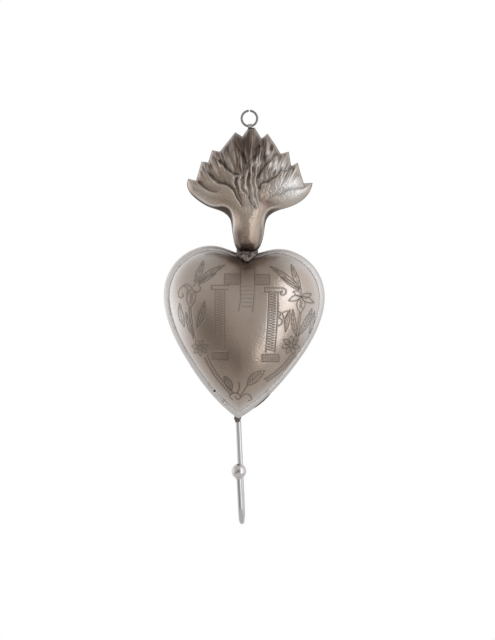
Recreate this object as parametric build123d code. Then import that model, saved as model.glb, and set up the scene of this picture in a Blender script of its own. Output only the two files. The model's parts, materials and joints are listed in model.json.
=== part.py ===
"""Tin flaming heart that hangs on a wall by a small wire ring and carries a wire hook with a ball end.

The frame stands upright as the ornament hangs: millimetres, +Z up, the viewer on the -Y side and the
wall on the +Y side. The origin is the centre of the hanging ring, where the nail goes.
"""

import os
from math import cos, degrees, exp, hypot, radians, sin, sqrt

from build123d import *

# Ring and the eye it hangs in
ring_outer_diameter = 8.9
ring_wire_diameter = 1.15
ring_gap = 0.6
eye_sheet = 0.3
eye_left = 0.75
eye_right = 1.35
eye_clearance = 0.07
eye_tail_right = 2.75
eye_tail_length = 7.0
eye_front_tail = 0.6
eye_solder_radius = 0.65
eye_solder_x = 1.95
eye_solder_drop = 0.1

# Sheets and the wall
flame_sheet = 0.5
heart_sheet = 0.5
wall_gap = 0.05
sheet_grip = 0.125

# Flame, drawn on squares that are a 124th of its width
flame_width = 62.0
flame_edge_height = 1.3
flame_leaf_height = 5.6
flame_stem_height = 10.0
flame_edge_round = 2.3
flame_back_margin = 0.25
tongue_width = 10.8
tongue_depth = 7.0
slot_clearance = 0.1

# Heart, drawn on squares that are a 161st of its width
heart_width = 80.5
heart_depth = 24.0
heart_lean = 2.8
seam_depth = 6.8
seam_inset = 2.6
neck_gap = 1.85
bead_proud = 0.35
bead_half_width = 0.8

# Solder lumps: half width, half depth and half height
neck_lump = (4.9, 4.6, 3.0)
neck_lump_forward = 5.1
seam_lump_radius = 1.5

# Hook
wire_diameter = 2.8
wire_clearance = 0.05
hook_lean = 2.55
hook_twist = 1.9
hook_drop = 52.1
hook_bend_radius = 9.75
hook_riser_lean = 9.0
hook_ball_rise = 27.1
ball_diameter = 7.4
shank_inside = 32.0
collar_below = 1.8
collar_above = 3.2
collar_foot_radius = 1.8
collar_top_radius = 2.8
hole_clearance = 0.1
strap_sheet = 0.8
strap_width = 6.0
strap_foot = 4.5
strap_height = 22.0

# Cutting tools run this far past what they cut
overrun = 5.0

# Places that follow from the sizes
ring_radius = (ring_outer_diameter - ring_wire_diameter) / 2
ring_wire_radius = ring_wire_diameter / 2
hinge_z = -ring_radius
eye_reach = max(eye_left, eye_right)
ring_rise = ring_radius - sqrt(ring_radius**2 - eye_reach**2)
eye_bore_radius = ring_wire_radius + ring_rise + eye_clearance
eye_outer_radius = eye_bore_radius + eye_sheet
wall_y = eye_outer_radius + wall_gap
flame_rear_y = wall_y - heart_sheet
flame_face_y = flame_rear_y - flame_sheet
flame_square = flame_width / 124
flame_top_z = hinge_z - eye_bore_radius - sheet_grip - flame_back_margin
heart_square = heart_width / 161
wire_radius = wire_diameter / 2
shank_y = wall_y - heart_sheet - wire_clearance - wire_radius

# Flame outline in squares right of the ring's centre and below the flame's top, clockwise from the neck
flame_right_leaf_shares = (
    (5.5, 0), (12, 10.5), (18, 5.5), (25, 15.5), (31, 25.5), (39, 23.5), (40.5, 33),
    (41.5, 38), (48, 34.5), (50.5, 44), (54, 55), (62.5, 54.5),
)
flame_right_sweep_shares = (
    (60.5, 61.5), (50.5, 72.5), (39, 78), (25.5, 82.5), (17.5, 89), (14.5, 101), (12, 113), (8.5, 120),
)
flame_foot_share = (-2.5, 123.5)
flame_left_sweep_shares = (
    (-12, 120), (-15, 112), (-17, 100), (-19, 90), (-26, 83), (-39.5, 78), (-52, 70.5), (-60, 62),
)
flame_left_leaf_shares = (
    (-62, 54), (-61, 50.5), (-53, 52.5), (-47.5, 33.5), (-44, 33.5), (-41, 34.5), (-37, 22),
    (-33.5, 22.7), (-29.5, 23.5), (-14, 4), (-7, 8.5), (-1, 0),
)

# The core where the swell is highest, the ends of the spine that the leaves gather into, and the rings
# across them from the outline to the spine
flame_core_share = (-2, 88)
flame_spine_shares = (74, 106)
flame_core_width_share = 24
flame_core_rise_share = 44
flame_rings_shares = (1, 0.94, 0.86, 0.75, 0.62, 0.48, 0.33, 0.18, 0.06)
# How far the valleys sink into the swell, and the ring at which they begin to fade
flame_valley_share = 0.5
flame_valley_end_share = 0.5

# Half outline of the heart in squares from its axis and below its cleft, from the cleft to the tip
heart_outline_shares = (
    (0, 0), (13, -3.8), (30.5, -8.5), (54, -3.5), (72.5, 13), (80.3, 36),
    (78.3, 57), (68, 84), (53.7, 107.5), (36.4, 130.5), (17.2, 150), (0, 163),
)
# The same outline high on the dome, where the cleft has died out
heart_crown_head_shares = ((0, -11), (14, -10.6), (30.5, -8.5))
heart_crown_tip_shares = ((19, 148.5), (0, 157.5))
heart_crown_shares = heart_crown_head_shares + heart_outline_shares[3:-2] + heart_crown_tip_shares
heart_centre_share = 62
# The rim of the back half from the wall to the seam: share of the seam's depth, share of its inset
rim_shares = ((0, 0.8), (0.18, 0.3), (0.5, 0), (0.78, 0.3), (1, 1))
# The dome's sections from the seam to the apex, as shares of the seam's outline
dome_shares = (1, 0.94, 0.86, 0.75, 0.61, 0.46, 0.31, 0.17, 0.06)
dome_roundness = 2.2
dome_fullness = 0.75
crease_length_share = 0.5

# Places along the heart's left side that carry a solder lump, from the cleft at 0 to the tip at 1
seam_lump_shares = (0.9, 0.925, 0.79)
cleft_x_share = -3.2
tongue_x_share = -2.1

flame_foot_z = flame_top_z - flame_foot_share[1] * flame_square
cleft_x = cleft_x_share * flame_square
cleft_z = flame_foot_z - neck_gap
heart_place = Location((cleft_x, 0, cleft_z), (0, heart_lean, 0))
heart_length = heart_outline_shares[-1][1] * heart_square
tip_x = cleft_x - heart_length * sin(radians(heart_lean))
tip_z = cleft_z - heart_length * cos(radians(heart_lean))
shank_place = Location((tip_x, shank_y, tip_z), (0, -hook_lean, 0))


def largest(shape):
    """The biggest solid of a cut, without the slivers that the cut left over."""
    return max(shape.solids(), key=lambda solid: solid.volume)


# Flame

def flame_point(share):
    """Real place, right of the ring's centre and above it, of a point drawn on the flame's squares."""
    return (share[0] * flame_square, flame_top_z - share[1] * flame_square)


def inset_point(before, point, after, inset):
    """A corner of the flame's outline moved inward, by the same inset from both of its sides."""
    ax, az = point[0] - before[0], point[1] - before[1]
    bx, bz = after[0] - point[0], after[1] - point[1]
    a, b = hypot(ax, az), hypot(bx, bz)
    nx, nz = az / a + bz / b, -ax / a - bx / b
    reach = inset / max((1 + (ax * bx + az * bz) / (a * b)), 0.3)
    return (point[0] + nx * reach, point[1] + nz * reach)


flame_corners = [
    flame_point(share)
    for share in (
        *flame_right_leaf_shares,
        *flame_right_sweep_shares,
        flame_foot_share,
        *flame_left_sweep_shares,
        *flame_left_leaf_shares,
    )
]
flame_core = flame_point(flame_core_share)


def inset_corners(inset):
    """The flame's outline drawn in from its edge, or drawn out by an inset below zero."""
    after = flame_corners[1:] + flame_corners[:1]
    before = flame_corners[-1:] + flame_corners[:-1]
    return [inset_point(*corner, inset) for corner in zip(before, flame_corners, after)]


def flame_wire(points):
    """Closed wire through an outline's points: straight along the leaves, smooth round the stem."""
    leaf = len(flame_right_leaf_shares) - 1
    sweep_end = len(points) - len(flame_left_leaf_shares)
    right = zip(points[:leaf], points[1 : leaf + 1])
    left = zip(points[sweep_end:], points[sweep_end + 1 :] + points[:1])
    edges = [Edge.make_line(a, b) for a, b in right]
    edges.append(Edge.make_spline(points[leaf : sweep_end + 1], parameters=sweep_parameters()))
    return Wire(edges + [Edge.make_line(a, b) for a, b in left])


def sweep_parameters():
    """Where each point of the sweep round the stem lies along it, from 0 to 1."""
    leaf = len(flame_right_leaf_shares) - 1
    sweep = flame_corners[leaf : len(flame_corners) - len(flame_left_leaf_shares) + 1]
    along = [0]
    for (ax, az), (bx, bz) in zip(sweep, sweep[1:]):
        along.append(along[-1] + hypot(bx - ax, bz - az))
    return [share / along[-1] for share in along]


def edge_distance(point):
    """Shortest distance from a point to the flame's outline."""
    nearest = flame_width
    for (ax, az), (bx, bz) in zip(flame_corners, flame_corners[1:] + flame_corners[:1]):
        run_x, run_z = bx - ax, bz - az
        along = ((point[0] - ax) * run_x + (point[1] - az) * run_z) / (run_x**2 + run_z**2)
        along = min(1, max(0, along))
        nearest = min(nearest, hypot(point[0] - ax - along * run_x, point[1] - az - along * run_z))
    return nearest


def flame_height(x, z, ring, is_notch):
    """Height of the beaten flame over its back sheet: a pillow, sunk along the lines from the notches."""
    if ring == flame_rings_shares[0]:
        return flame_edge_height
    if ring == flame_rings_shares[-1]:
        return flame_stem_height
    core_x, core_z = flame_core
    across = (x - core_x) / (flame_core_width_share * flame_square)
    above = max(0, (z - core_z) / (flame_core_rise_share * flame_square))
    crown = flame_leaf_height + (flame_stem_height - flame_leaf_height) * exp(-(across**2) - above**2)
    swell = 1 - exp(-edge_distance((x, z)) / flame_edge_round)
    if is_notch:
        swell -= flame_valley_share * min(1, ring / flame_valley_end_share) * swell
    return flame_edge_height + (crown - flame_edge_height) * swell


def flame_ring(corners, ring, sheet):
    """Wire across the beaten surface at a share of the way from the spine to the outline."""
    spine_top, spine_foot = (flame_top_z - share * flame_square for share in flame_spine_shares)
    points = []
    for index, (corner_x, corner_z) in enumerate(corners):
        spine_z = min(spine_top, max(spine_foot, corner_z))
        x = flame_core[0] + (corner_x - flame_core[0]) * ring
        z = spine_z + (corner_z - spine_z) * ring
        height = flame_height(x, z, ring, index in flame_notches) - sheet
        points.append(Vector(x, flame_face_y - height, z))
    return flame_wire(points)


def flame_notch_indices():
    """Which of the outline's corners are notches between leaves: those that lie nearer to the core."""
    found = set()
    for index, corner in enumerate(flame_corners):
        neighbours = flame_corners[index - 1], flame_corners[(index + 1) % len(flame_corners)]
        reach = [hypot(x - flame_core[0], z - flame_core[1]) for x, z in (corner, *neighbours)]
        on_leaf = index < len(flame_right_leaf_shares) or index > len(flame_corners) - len(flame_left_leaf_shares)
        if on_leaf and reach[0] < min(reach[1:]):
            found.add(index)
    return found


flame_notches = flame_notch_indices()


def flame_skin(inset, sheet):
    """The beaten surface and its turned-down edge as faces, less the sheet, and the wire at its foot."""
    corners = inset_corners(inset)
    foot = flame_wire([Vector(x, flame_face_y, z) for x, z in corners])
    rim = flame_ring(corners, 1, sheet)
    rings = [rim] + [flame_ring(corners, ring, sheet) for ring in flame_rings_shares[1:]]
    beaten = Solid.make_loft(rings)
    wall = Solid.make_loft([foot, rim])
    rim_y = rim.center().Y
    skin = [face for face in beaten.faces() if abs(face.center().Y - rim_y) > sheet_grip / 100]
    skin += [face for face in wall.faces() if abs(face.normal_at(face.center()).Y) < 0.5]
    return skin, foot


def facing(face, y_sign):
    """The flat face turned so that it looks along +Y or -Y."""
    return face if face.normal_at(face.center()).Y * y_sign > 0 else -face


outer_skin, outer_foot = flame_skin(0, 0)
inner_skin, inner_foot = flame_skin(flame_sheet, flame_sheet)
flame_outer = Solid(Shell(outer_skin + [facing(Face(outer_foot), 1)]))
flame_front = Solid(
    Shell(outer_skin + [-face for face in inner_skin] + [facing(Face(outer_foot, [inner_foot]), 1)])
)

tongue_x = tongue_x_share * flame_square
tongue_top_z = flame_foot_z + tongue_depth
tongue_foot_z = cleft_z - tongue_depth
tongue_place = Location((tongue_x, flame_face_y + flame_sheet / 2, (tongue_top_z + tongue_foot_z) / 2))
tongue = tongue_place * Box(tongue_width, flame_sheet, tongue_top_z - tongue_foot_z)
back_corners = inset_corners(-flame_back_margin)
back_face = Face(flame_wire([Vector(x, flame_face_y, z) for x, z in back_corners]))
flame_back = Solid.extrude(back_face, Vector(0, flame_sheet, 0)) + tongue
slot = tongue_place * Box(
    tongue_width + 2 * slot_clearance,
    flame_sheet + 2 * slot_clearance,
    tongue_top_z - tongue_foot_z,
)

# Heart

def parameter_shares():
    """Where each outline point lies along the half outline, from 0 at the cleft to 1 at the tip."""
    along = [0]
    for (ax, az), (bx, bz) in zip(heart_outline_shares, heart_outline_shares[1:]):
        along.append(along[-1] + hypot(bx - ax, bz - az))
    return [share / along[-1] for share in along]


heart_parameters = parameter_shares()


def heart_section(inset, depth, scale=1, softness=0):
    """Closed wire of the heart's outline, drawn in, scaled and softened, at a depth from the wall."""
    shrink = scale * (heart_width / 2 - inset) / (heart_width / 2)
    half = []
    for (x, z), (crown_x, crown_z) in zip(heart_outline_shares, heart_crown_shares):
        across = (x + (crown_x - x) * softness) * shrink
        down = z + (crown_z - z) * softness
        down = heart_centre_share + (down - heart_centre_share) * shrink
        half.append((across * heart_square, -down * heart_square))
    y = wall_y - depth
    right = Edge.make_spline([Vector(x, y, z) for x, z in half], parameters=heart_parameters)
    left = Edge.make_spline(
        [Vector(-x, y, z) for x, z in reversed(half)],
        parameters=[1 - share for share in reversed(heart_parameters)],
    )
    return Wire([right, left])


def tray_body(thickness):
    """Solid of the back half from the wall to the seam, or of its hollow, less the thickness."""
    sections = []
    for depth_share, inset_share in rim_shares:
        depth = max(depth_share * seam_depth, thickness)
        sections.append(heart_section(inset_share * seam_inset + thickness, depth))
    return heart_place * Solid.make_loft(sections)


def dome_body(thickness):
    """Solid of the front half from the seam to the apex, or of its hollow, less the thickness."""
    rise = heart_depth - seam_depth - thickness
    sections = []
    for share in dome_shares:
        height = rise * (1 - share**dome_roundness) ** dome_fullness
        softness = min(1, (1 - share) / crease_length_share)
        softness = softness * softness * (3 - 2 * softness)
        sections.append(heart_section(seam_inset + thickness, seam_depth + height, share, softness))
    return heart_place * Solid.make_loft(sections)


tray_outer = tray_body(0)
dome_outer = dome_body(0)
shank_hole = shank_place * Cylinder(wire_radius + hole_clearance, 2 * (collar_above + overrun))
heart_back = largest(tray_outer - tray_body(heart_sheet) - slot - shank_hole)
heart_front = largest(dome_outer - dome_body(heart_sheet))

# Solder of the heart's seam, its cleft and the top of the flame

bead_shares = ((-1, 0.68), (0, 1), (1, 1.17))


def seam_bead():
    """Belt that stands proud of the seam and sinks into the heart on both sides of it."""
    sections = []
    for depth_share, inset_share in bead_shares:
        inset = inset_share * seam_inset - (bead_proud if depth_share == 0 else 0)
        sections.append(heart_section(inset, seam_depth + depth_share * bead_half_width))
    return heart_place * Solid.make_loft(sections, ruled=True)


def seam_lump(share):
    """Lump of solder on the left side of the seam, at a share of the way from the cleft to the tip."""
    left = heart_section(seam_inset, seam_depth).edges()[1]
    place = left.position_at(1 - share)
    return heart_place * Location(place) * Sphere(seam_lump_radius)


def lump(place, sizes):
    """Rounded lump with the given half width, half depth and half height."""
    return Location(place) * scale(Sphere(sizes[0]), by=(1, sizes[1] / sizes[0], sizes[2] / sizes[0]))


seam_solder = seam_bead()
for share in seam_lump_shares:
    seam_solder = seam_solder + seam_lump(share)
seam_solder = largest(seam_solder - tray_outer - dome_outer)

neck_solder = lump((cleft_x, wall_y - neck_lump_forward, cleft_z), neck_lump)
neck_solder = largest(neck_solder - tray_outer - dome_outer - seam_solder - flame_outer - flame_back)

# Ring and eye

gap_angle = degrees(ring_gap / ring_radius)
ring_section = Plane.YZ * Location((0, ring_radius)) * Circle(ring_wire_radius)
hanging_ring = revolve(ring_section, axis=Axis.Y, revolution_arc=360 - gap_angle)
hanging_ring = Location((0, 0, 0), (0, gap_angle / 2, 0)) * hanging_ring


def eye_box(left, right, front, rear, low, high):
    """Upright box of the eye between named faces."""
    size = (right + left, rear - front, high - low)
    middle = ((right - left) / 2, (front + rear) / 2, (low + high) / 2)
    return Location(middle) * Box(*size)


eye_width = eye_left + eye_right
eye_middle = Location(((eye_right - eye_left) / 2, 0, hinge_z), (0, 90, 0))
eye_neck_z = hinge_z - eye_outer_radius
tail_front_y = flame_face_y - eye_sheet
tail_rear_y = flame_rear_y + eye_sheet
hanging_eye = eye_middle * Cylinder(eye_outer_radius, eye_width)
hanging_eye += eye_box(eye_left, eye_right, flame_rear_y, tail_rear_y, eye_neck_z, hinge_z)
hanging_eye -= eye_middle * Cylinder(eye_bore_radius, eye_width + overrun)
hanging_eye -= eye_box(eye_left, eye_right, flame_face_y, flame_rear_y, eye_neck_z - overrun, hinge_z)
hanging_eye += eye_box(
    eye_left, eye_tail_right, tail_front_y, flame_face_y, flame_top_z, flame_top_z + eye_front_tail
)
hanging_eye += eye_box(
    eye_left, eye_tail_right, flame_rear_y, tail_rear_y, eye_neck_z - eye_tail_length, eye_neck_z
)

eye_solder_z = flame_top_z - eye_solder_drop
eye_solder = Location((eye_solder_x, tail_front_y, eye_solder_z)) * Sphere(eye_solder_radius)
eye_solder = largest(eye_solder - flame_outer - flame_back - hanging_eye)

# Hook

bend_foot_z = wire_radius + hook_bend_radius - hook_drop
bend_end_y = -hook_bend_radius * (1 + cos(radians(hook_riser_lean)))
bend_end_z = bend_foot_z - hook_bend_radius * sin(radians(hook_riser_lean))
ball_z = hook_ball_rise - hook_drop
riser_length = (ball_z - bend_end_z) / cos(radians(hook_riser_lean))
ball_y = bend_end_y - riser_length * sin(radians(hook_riser_lean))
ball_radius = ball_diameter / 2
wire_end = sqrt(ball_radius**2 - wire_radius**2)
end_y = ball_y - wire_end * sin(radians(hook_riser_lean))
end_z = ball_z + wire_end * cos(radians(hook_riser_lean))
hook_route = Wire([
    Edge.make_line((0, 0, shank_inside), (0, 0, bend_foot_z)),
    Edge.make_three_point_arc(
        (0, 0, bend_foot_z),
        (0, -hook_bend_radius, bend_foot_z - hook_bend_radius),
        (0, bend_end_y, bend_end_z),
    ),
    Edge.make_line((0, bend_end_y, bend_end_z), (0, end_y, end_z)),
])
hook_place = shank_place * Location((0, 0, 0), (0, 0, -hook_twist))
shank_section = Plane.XY.offset(shank_inside) * Circle(wire_radius)
hook_wire = hook_place * sweep(shank_section, path=hook_route)
hook_ball = largest(hook_place * Location((0, ball_y, ball_z)) * Sphere(ball_radius) - hook_wire)

collar_height = collar_below + collar_above
collar_middle = Location((0, 0, (collar_above - collar_below) / 2))
hook_collar = shank_place * collar_middle * Cone(collar_foot_radius, collar_top_radius, collar_height)
hook_collar = hook_collar - tray_outer - dome_outer - seam_solder - hook_wire
wall_room = Location((tip_x, wall_y - heart_depth / 2, tip_z)) * Box(heart_width, heart_depth, heart_width)
hook_collar = largest(hook_collar & wall_room)

# Strap that holds the shank against the inside of the back plate

strap_bore = wire_radius + wire_clearance
strap_radius = strap_bore + strap_sheet
strap_span = 2 * (strap_radius + strap_foot)
plate_y = wire_radius + wire_clearance
shank_strap = Cylinder(strap_radius, strap_width)
shank_strap += Location((0, plate_y / 2, 0)) * Box(2 * strap_radius, plate_y, strap_width)
shank_strap += Location((0, plate_y - strap_sheet / 2, 0)) * Box(strap_span, strap_sheet, strap_width)
shank_strap -= Cylinder(strap_bore, strap_width + overrun)
shank_strap -= Location((0, plate_y, 0)) * Box(2 * strap_bore, 2 * plate_y, strap_width + overrun)
shank_strap -= Location((0, plate_y + strap_radius / 2, 0)) * Box(strap_span, strap_radius, strap_width + overrun)
shank_strap = shank_place * Location((0, 0, strap_height)) * shank_strap

nodes = {
    "hanging_ring": hanging_ring,
    "hanging_eye": hanging_eye,
    "eye_solder": eye_solder,
    "flame_front": flame_front,
    "flame_back": flame_back,
    "neck_solder": neck_solder,
    "heart_front": heart_front,
    "heart_back": heart_back,
    "seam_solder": seam_solder,
    "hook_collar": hook_collar,
    "hook_wire": hook_wire,
    "hook_ball": hook_ball,
    "shank_strap": shank_strap,
}

os.makedirs("parts", exist_ok=True)
for node, shape in nodes.items():
    export_step(shape, f"parts/{node}.step")
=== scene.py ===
"""Looks of the tin flaming heart that hangs on a wall and carries a wire hook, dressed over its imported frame.

Lengths are metres in the frame of the CAD: +Z up, the viewer on the -Y side and the wall on the +Y side,
with the origin at the centre of the hanging ring. Shapes seen from the front are laid out on a drawing of
half-millimetre squares, in columns and rows.
"""

import json
import logging
from dataclasses import dataclass, field, replace
from enum import Enum
from math import cos, exp, hypot, pi, radians, sin

import bmesh
import bpy
import numpy as np
from mathutils import Matrix, Vector, noise
from mathutils.geometry import delaunay_2d_cdt
from mathutils.kdtree import KDTree

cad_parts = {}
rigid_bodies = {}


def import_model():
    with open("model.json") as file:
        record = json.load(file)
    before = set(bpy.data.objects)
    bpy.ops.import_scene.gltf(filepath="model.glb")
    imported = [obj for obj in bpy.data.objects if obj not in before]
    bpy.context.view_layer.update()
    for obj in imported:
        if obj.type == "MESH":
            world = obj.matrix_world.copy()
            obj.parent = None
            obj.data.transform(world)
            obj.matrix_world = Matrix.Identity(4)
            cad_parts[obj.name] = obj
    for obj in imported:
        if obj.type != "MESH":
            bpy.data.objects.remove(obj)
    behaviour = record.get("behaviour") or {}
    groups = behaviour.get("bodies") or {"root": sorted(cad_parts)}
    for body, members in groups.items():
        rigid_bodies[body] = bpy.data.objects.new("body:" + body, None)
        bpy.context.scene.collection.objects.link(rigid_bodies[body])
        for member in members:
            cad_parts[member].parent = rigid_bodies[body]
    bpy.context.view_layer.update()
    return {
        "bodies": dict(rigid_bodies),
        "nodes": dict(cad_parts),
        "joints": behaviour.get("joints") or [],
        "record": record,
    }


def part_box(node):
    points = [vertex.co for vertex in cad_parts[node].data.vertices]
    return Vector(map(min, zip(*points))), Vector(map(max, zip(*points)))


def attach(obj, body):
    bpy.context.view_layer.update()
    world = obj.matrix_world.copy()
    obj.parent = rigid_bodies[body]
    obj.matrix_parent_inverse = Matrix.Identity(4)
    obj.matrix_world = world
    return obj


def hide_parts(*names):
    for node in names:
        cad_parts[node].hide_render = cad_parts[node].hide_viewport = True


Pair = tuple[float, float]
Line = tuple[Pair, ...]

log = logging.getLogger("tin_heart")

VIEW_DISTANCE = 1.5
MILLIMETRE = 0.001


# The drawing of the front


@dataclass(frozen=True)
class Drawing:
    """Squared drawing of the front, as the viewer sees it."""

    square: float = 0.0005
    ring: Pair = (249.4, 118.5)
    middle: Pair = (247.5, 320.0)

    def place(self, column: float, row: float, forward: float = 0.0) -> Pair:
        """Where a drawn point lies on the object.

        Args:
            column: Squares from the drawing's left edge.
            row: Squares below the drawing's top edge.
            forward: How far in front of the ring's centre the surface stands.

        Returns:
            The place to the right of the ring's centre and above it.
        """
        nearer = 1 - forward / VIEW_DISTANCE
        across = self.middle[0] + (column - self.middle[0]) * nearer
        down = self.middle[1] + (row - self.middle[1]) * nearer
        return (across - self.ring[0]) * self.square, (self.ring[1] - down) * self.square


DRAWING = Drawing()


def cubic_through(points: np.ndarray, knots: np.ndarray, at: np.ndarray) -> np.ndarray:
    """Smooth curve through points, with free ends.

    Args:
        points: One row for each point.
        knots: Where each point lies along the curve, rising.
        at: Where the curve is wanted.

    Returns:
        One row for each wanted place.
    """
    count = len(points)
    steps = np.diff(knots)
    slopes = np.diff(points, axis=0) / steps[:, None]
    system = np.eye(count)
    right = np.zeros_like(points, dtype=float)
    for row in range(1, count - 1):
        system[row, row - 1 : row + 2] = steps[row - 1], 2 * (steps[row - 1] + steps[row]), steps[row]
        right[row] = 6 * (slopes[row] - slopes[row - 1])
    bends = np.linalg.solve(system, right)
    span = np.clip(np.searchsorted(knots, at, side="right") - 1, 0, count - 2)
    step = steps[span][:, None]
    low = (at - knots[span])[:, None]
    high = step - low
    return (
        bends[span] * high**3 / (6 * step)
        + bends[span + 1] * low**3 / (6 * step)
        + (points[span] / step - bends[span] * step / 6) * high
        + (points[span + 1] / step - bends[span + 1] * step / 6) * low
    )


def chord_knots(points: np.ndarray) -> np.ndarray:
    """Where each point lies along a line of straight runs, from 0 to 1."""
    run = np.concatenate([[0.0], np.cumsum(np.hypot(*np.diff(points, axis=0).T))])
    return run / run[-1]


def resample(points: np.ndarray, step: float) -> np.ndarray:
    """Points at an even step along a line of straight runs, its ends and corners included."""
    pieces = []
    for start, end in zip(points[:-1], points[1:]):
        count = max(1, int(np.ceil(np.hypot(*(end - start)) / step)))
        pieces.append(start + (end - start) * (np.arange(count) / count)[:, None])
    return np.concatenate([*pieces, points[-1:]])


def rounded(points: Line, step: float = 1.0) -> np.ndarray:
    """A smooth line through a few drawn points, as many short runs."""
    corners = np.array(points, float)
    if len(corners) < 3:
        return corners
    knots = chord_knots(corners)
    length = np.hypot(*np.diff(corners, axis=0).T).sum()
    at = np.linspace(0, 1, max(3, int(length / step) + 1))
    return cubic_through(corners, knots, at)


def distance_to_line(points: np.ndarray, line: np.ndarray) -> tuple[np.ndarray, np.ndarray]:
    """How far points lie from a line of straight runs.

    Args:
        points: One row for each point.
        line: One row for each corner of the line.

    Returns:
        The distance of each point, and where its nearest place lies along the line, from 0 to 1.
    """
    knots = chord_knots(line)
    best = np.full(len(points), np.inf)
    along = np.zeros(len(points))
    for start, end, knot, next_knot in zip(line[:-1], line[1:], knots[:-1], knots[1:]):
        run = end - start
        share = np.clip(((points - start) @ run) / (run @ run), 0, 1)
        gap = np.hypot(*(points - start - share[:, None] * run).T)
        nearer = gap < best
        best = np.where(nearer, gap, best)
        along = np.where(nearer, knot + share * (next_knot - knot), along)
    return best, along


def smooth_step(share: np.ndarray) -> np.ndarray:
    """Eased step from 0 to 1."""
    share = np.clip(share, 0, 1)
    return share * share * (3 - 2 * share)


def soft_band(x: np.ndarray, middle: float, reach: object) -> np.ndarray:
    """A soft band, 1 along its middle, that fades over a reach on both sides."""
    return np.exp(-(((x - middle) / reach) ** 2))


def soft_spot(x: np.ndarray, y: np.ndarray, middle: Pair, reach: Pair) -> np.ndarray:
    """A soft spot, 1 at its middle, that fades over a width and a height."""
    return np.exp(-(((x - middle[0]) / reach[0]) ** 2) - ((y - middle[1]) / reach[1]) ** 2)


def noises(x: np.ndarray, y: np.ndarray, scale: Pair, layer: float) -> np.ndarray:
    """Soft noise at each place, at a scale each way, on a layer of its own."""
    return np.array([noise.noise(Vector((a * scale[0], b * scale[1], layer))) for a, b in zip(x, y)])


def even_loop(points: np.ndarray, step: float, gap: float) -> np.ndarray:
    """A closed outline at an even step, without corners closer than a gap to the one before."""
    loop = resample(np.concatenate([points, points[:1]]), step)[:-1]
    return loop[np.hypot(*(loop - np.roll(loop, 1, axis=0)).T) > gap]


def ring_faces(low: int, high: int, count: int) -> list[tuple[int, ...]]:
    """Faces that join two closed rings of corners, each given by its first corner's index."""
    pairs = [(index, (index + 1) % count) for index in range(count)]
    return [(low + index, low + after, high + after, high + index) for index, after in pairs]


def triangles_of(points: np.ndarray, boundary: int) -> np.ndarray:
    """Triangles between flat points, inside the loop that the first of them make.

    Args:
        points: One row for each point, the boundary first and in order.
        boundary: How many points make the boundary.

    Returns:
        Three indices for each triangle, all turned the same way.
    """
    edges = [(index, (index + 1) % boundary) for index in range(boundary)]
    flat = [Vector(point) for point in points]
    made = delaunay_2d_cdt(flat, edges, [], 1, 1e-9)
    if len(made[0]) != len(points):
        raise ValueError(f"{len(points)} points went in and {len(made[0])} came out")
    origin = [first[0] for first in made[3]]
    corners = np.array([[origin[index] for index in face] for face in made[2]])
    a, b, c = (points[corners[:, side]] for side in range(3))
    turn = (b[:, 0] - a[:, 0]) * (c[:, 1] - a[:, 1]) - (b[:, 1] - a[:, 1]) * (c[:, 0] - a[:, 0])
    corners[turn < 0] = corners[turn < 0][:, ::-1]
    return corners[np.abs(turn) > 1e-12]


def hex_grid(low: np.ndarray, high: np.ndarray, step: float) -> np.ndarray:
    """Flat points in staggered rows that fill a rectangle."""
    row_share = 0.866
    rows = np.arange(low[1], high[1], step * row_share)
    columns = np.arange(low[0], high[0], step)
    across, down = np.meshgrid(columns, rows)
    across = across + step / 2 * (np.arange(len(rows)) % 2)[:, None]
    return np.column_stack([across.ravel(), down.ravel()])


def tree_of(points: np.ndarray) -> KDTree:
    """A tree that finds the nearest of flat points."""
    tree = KDTree(len(points))
    for index, point in enumerate(points):
        tree.insert((point[0], point[1], 0), index)
    tree.balance()
    return tree


def apart_from(points: np.ndarray, taken: np.ndarray, gap: float) -> np.ndarray:
    """The points that keep a gap from all those taken."""
    tree = tree_of(taken)
    free = [tree.find((point[0], point[1], 0))[2] >= gap for point in points]
    return points[np.array(free, bool)] if len(points) else points


def thinned(points: np.ndarray, gap: float) -> np.ndarray:
    """The points without those that lie closer than a gap to an earlier one."""
    seen: dict[tuple[int, int], list[int]] = {}
    kept: list[int] = []
    for index, (across, down) in enumerate(points):
        cell = int(across // gap), int(down // gap)
        near = [
            other
            for i in (-1, 0, 1)
            for j in (-1, 0, 1)
            for other in seen.get((cell[0] + i, cell[1] + j), ())
        ]
        if all(hypot(across - points[o][0], down - points[o][1]) >= gap for o in near):
            seen.setdefault(cell, []).append(index)
            kept.append(index)
    return points[kept]


def add_object(name: str, data: bpy.types.ID) -> bpy.types.Object:
    """A new object, put in the scene."""
    made = bpy.data.objects.new(name, data)
    bpy.context.scene.collection.objects.link(made)
    return made


def mark_points(mesh: bpy.types.Mesh, mark: str, values: np.ndarray) -> None:
    """Keeps a value for each vertex under a name that the finishes read."""
    layer = mesh.attributes.new(mark, "FLOAT", "POINT")
    layer.data.foreach_set("value", np.asarray(values, np.float32))


def shaped_mesh(piece: bpy.types.Object) -> bpy.types.Mesh:
    """What a piece's modifiers make of it, as a smooth mesh of its own."""
    graph = bpy.context.evaluated_depsgraph_get()
    mesh = bpy.data.meshes.new_from_object(piece.evaluated_get(graph))
    mesh.shade_smooth()
    return mesh


def add_mesh(name: str, corners: np.ndarray, faces: list, **marks: np.ndarray) -> bpy.types.Object:
    """A new smooth piece with its place in its mesh.

    Args:
        name: Name of the piece.
        corners: One row for each vertex.
        faces: Indices of each face's corners.
        **marks: Values for each vertex, kept under their names for the finishes.

    Returns:
        The piece, in the scene.
    """
    mesh = bpy.data.meshes.new(name)
    mesh.from_pydata([tuple(corner) for corner in corners], [], [tuple(face) for face in faces])
    mesh.validate()
    mesh.shade_smooth()
    for mark, values in marks.items():
        mark_points(mesh, mark, values)
    return add_object(name, mesh)


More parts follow.
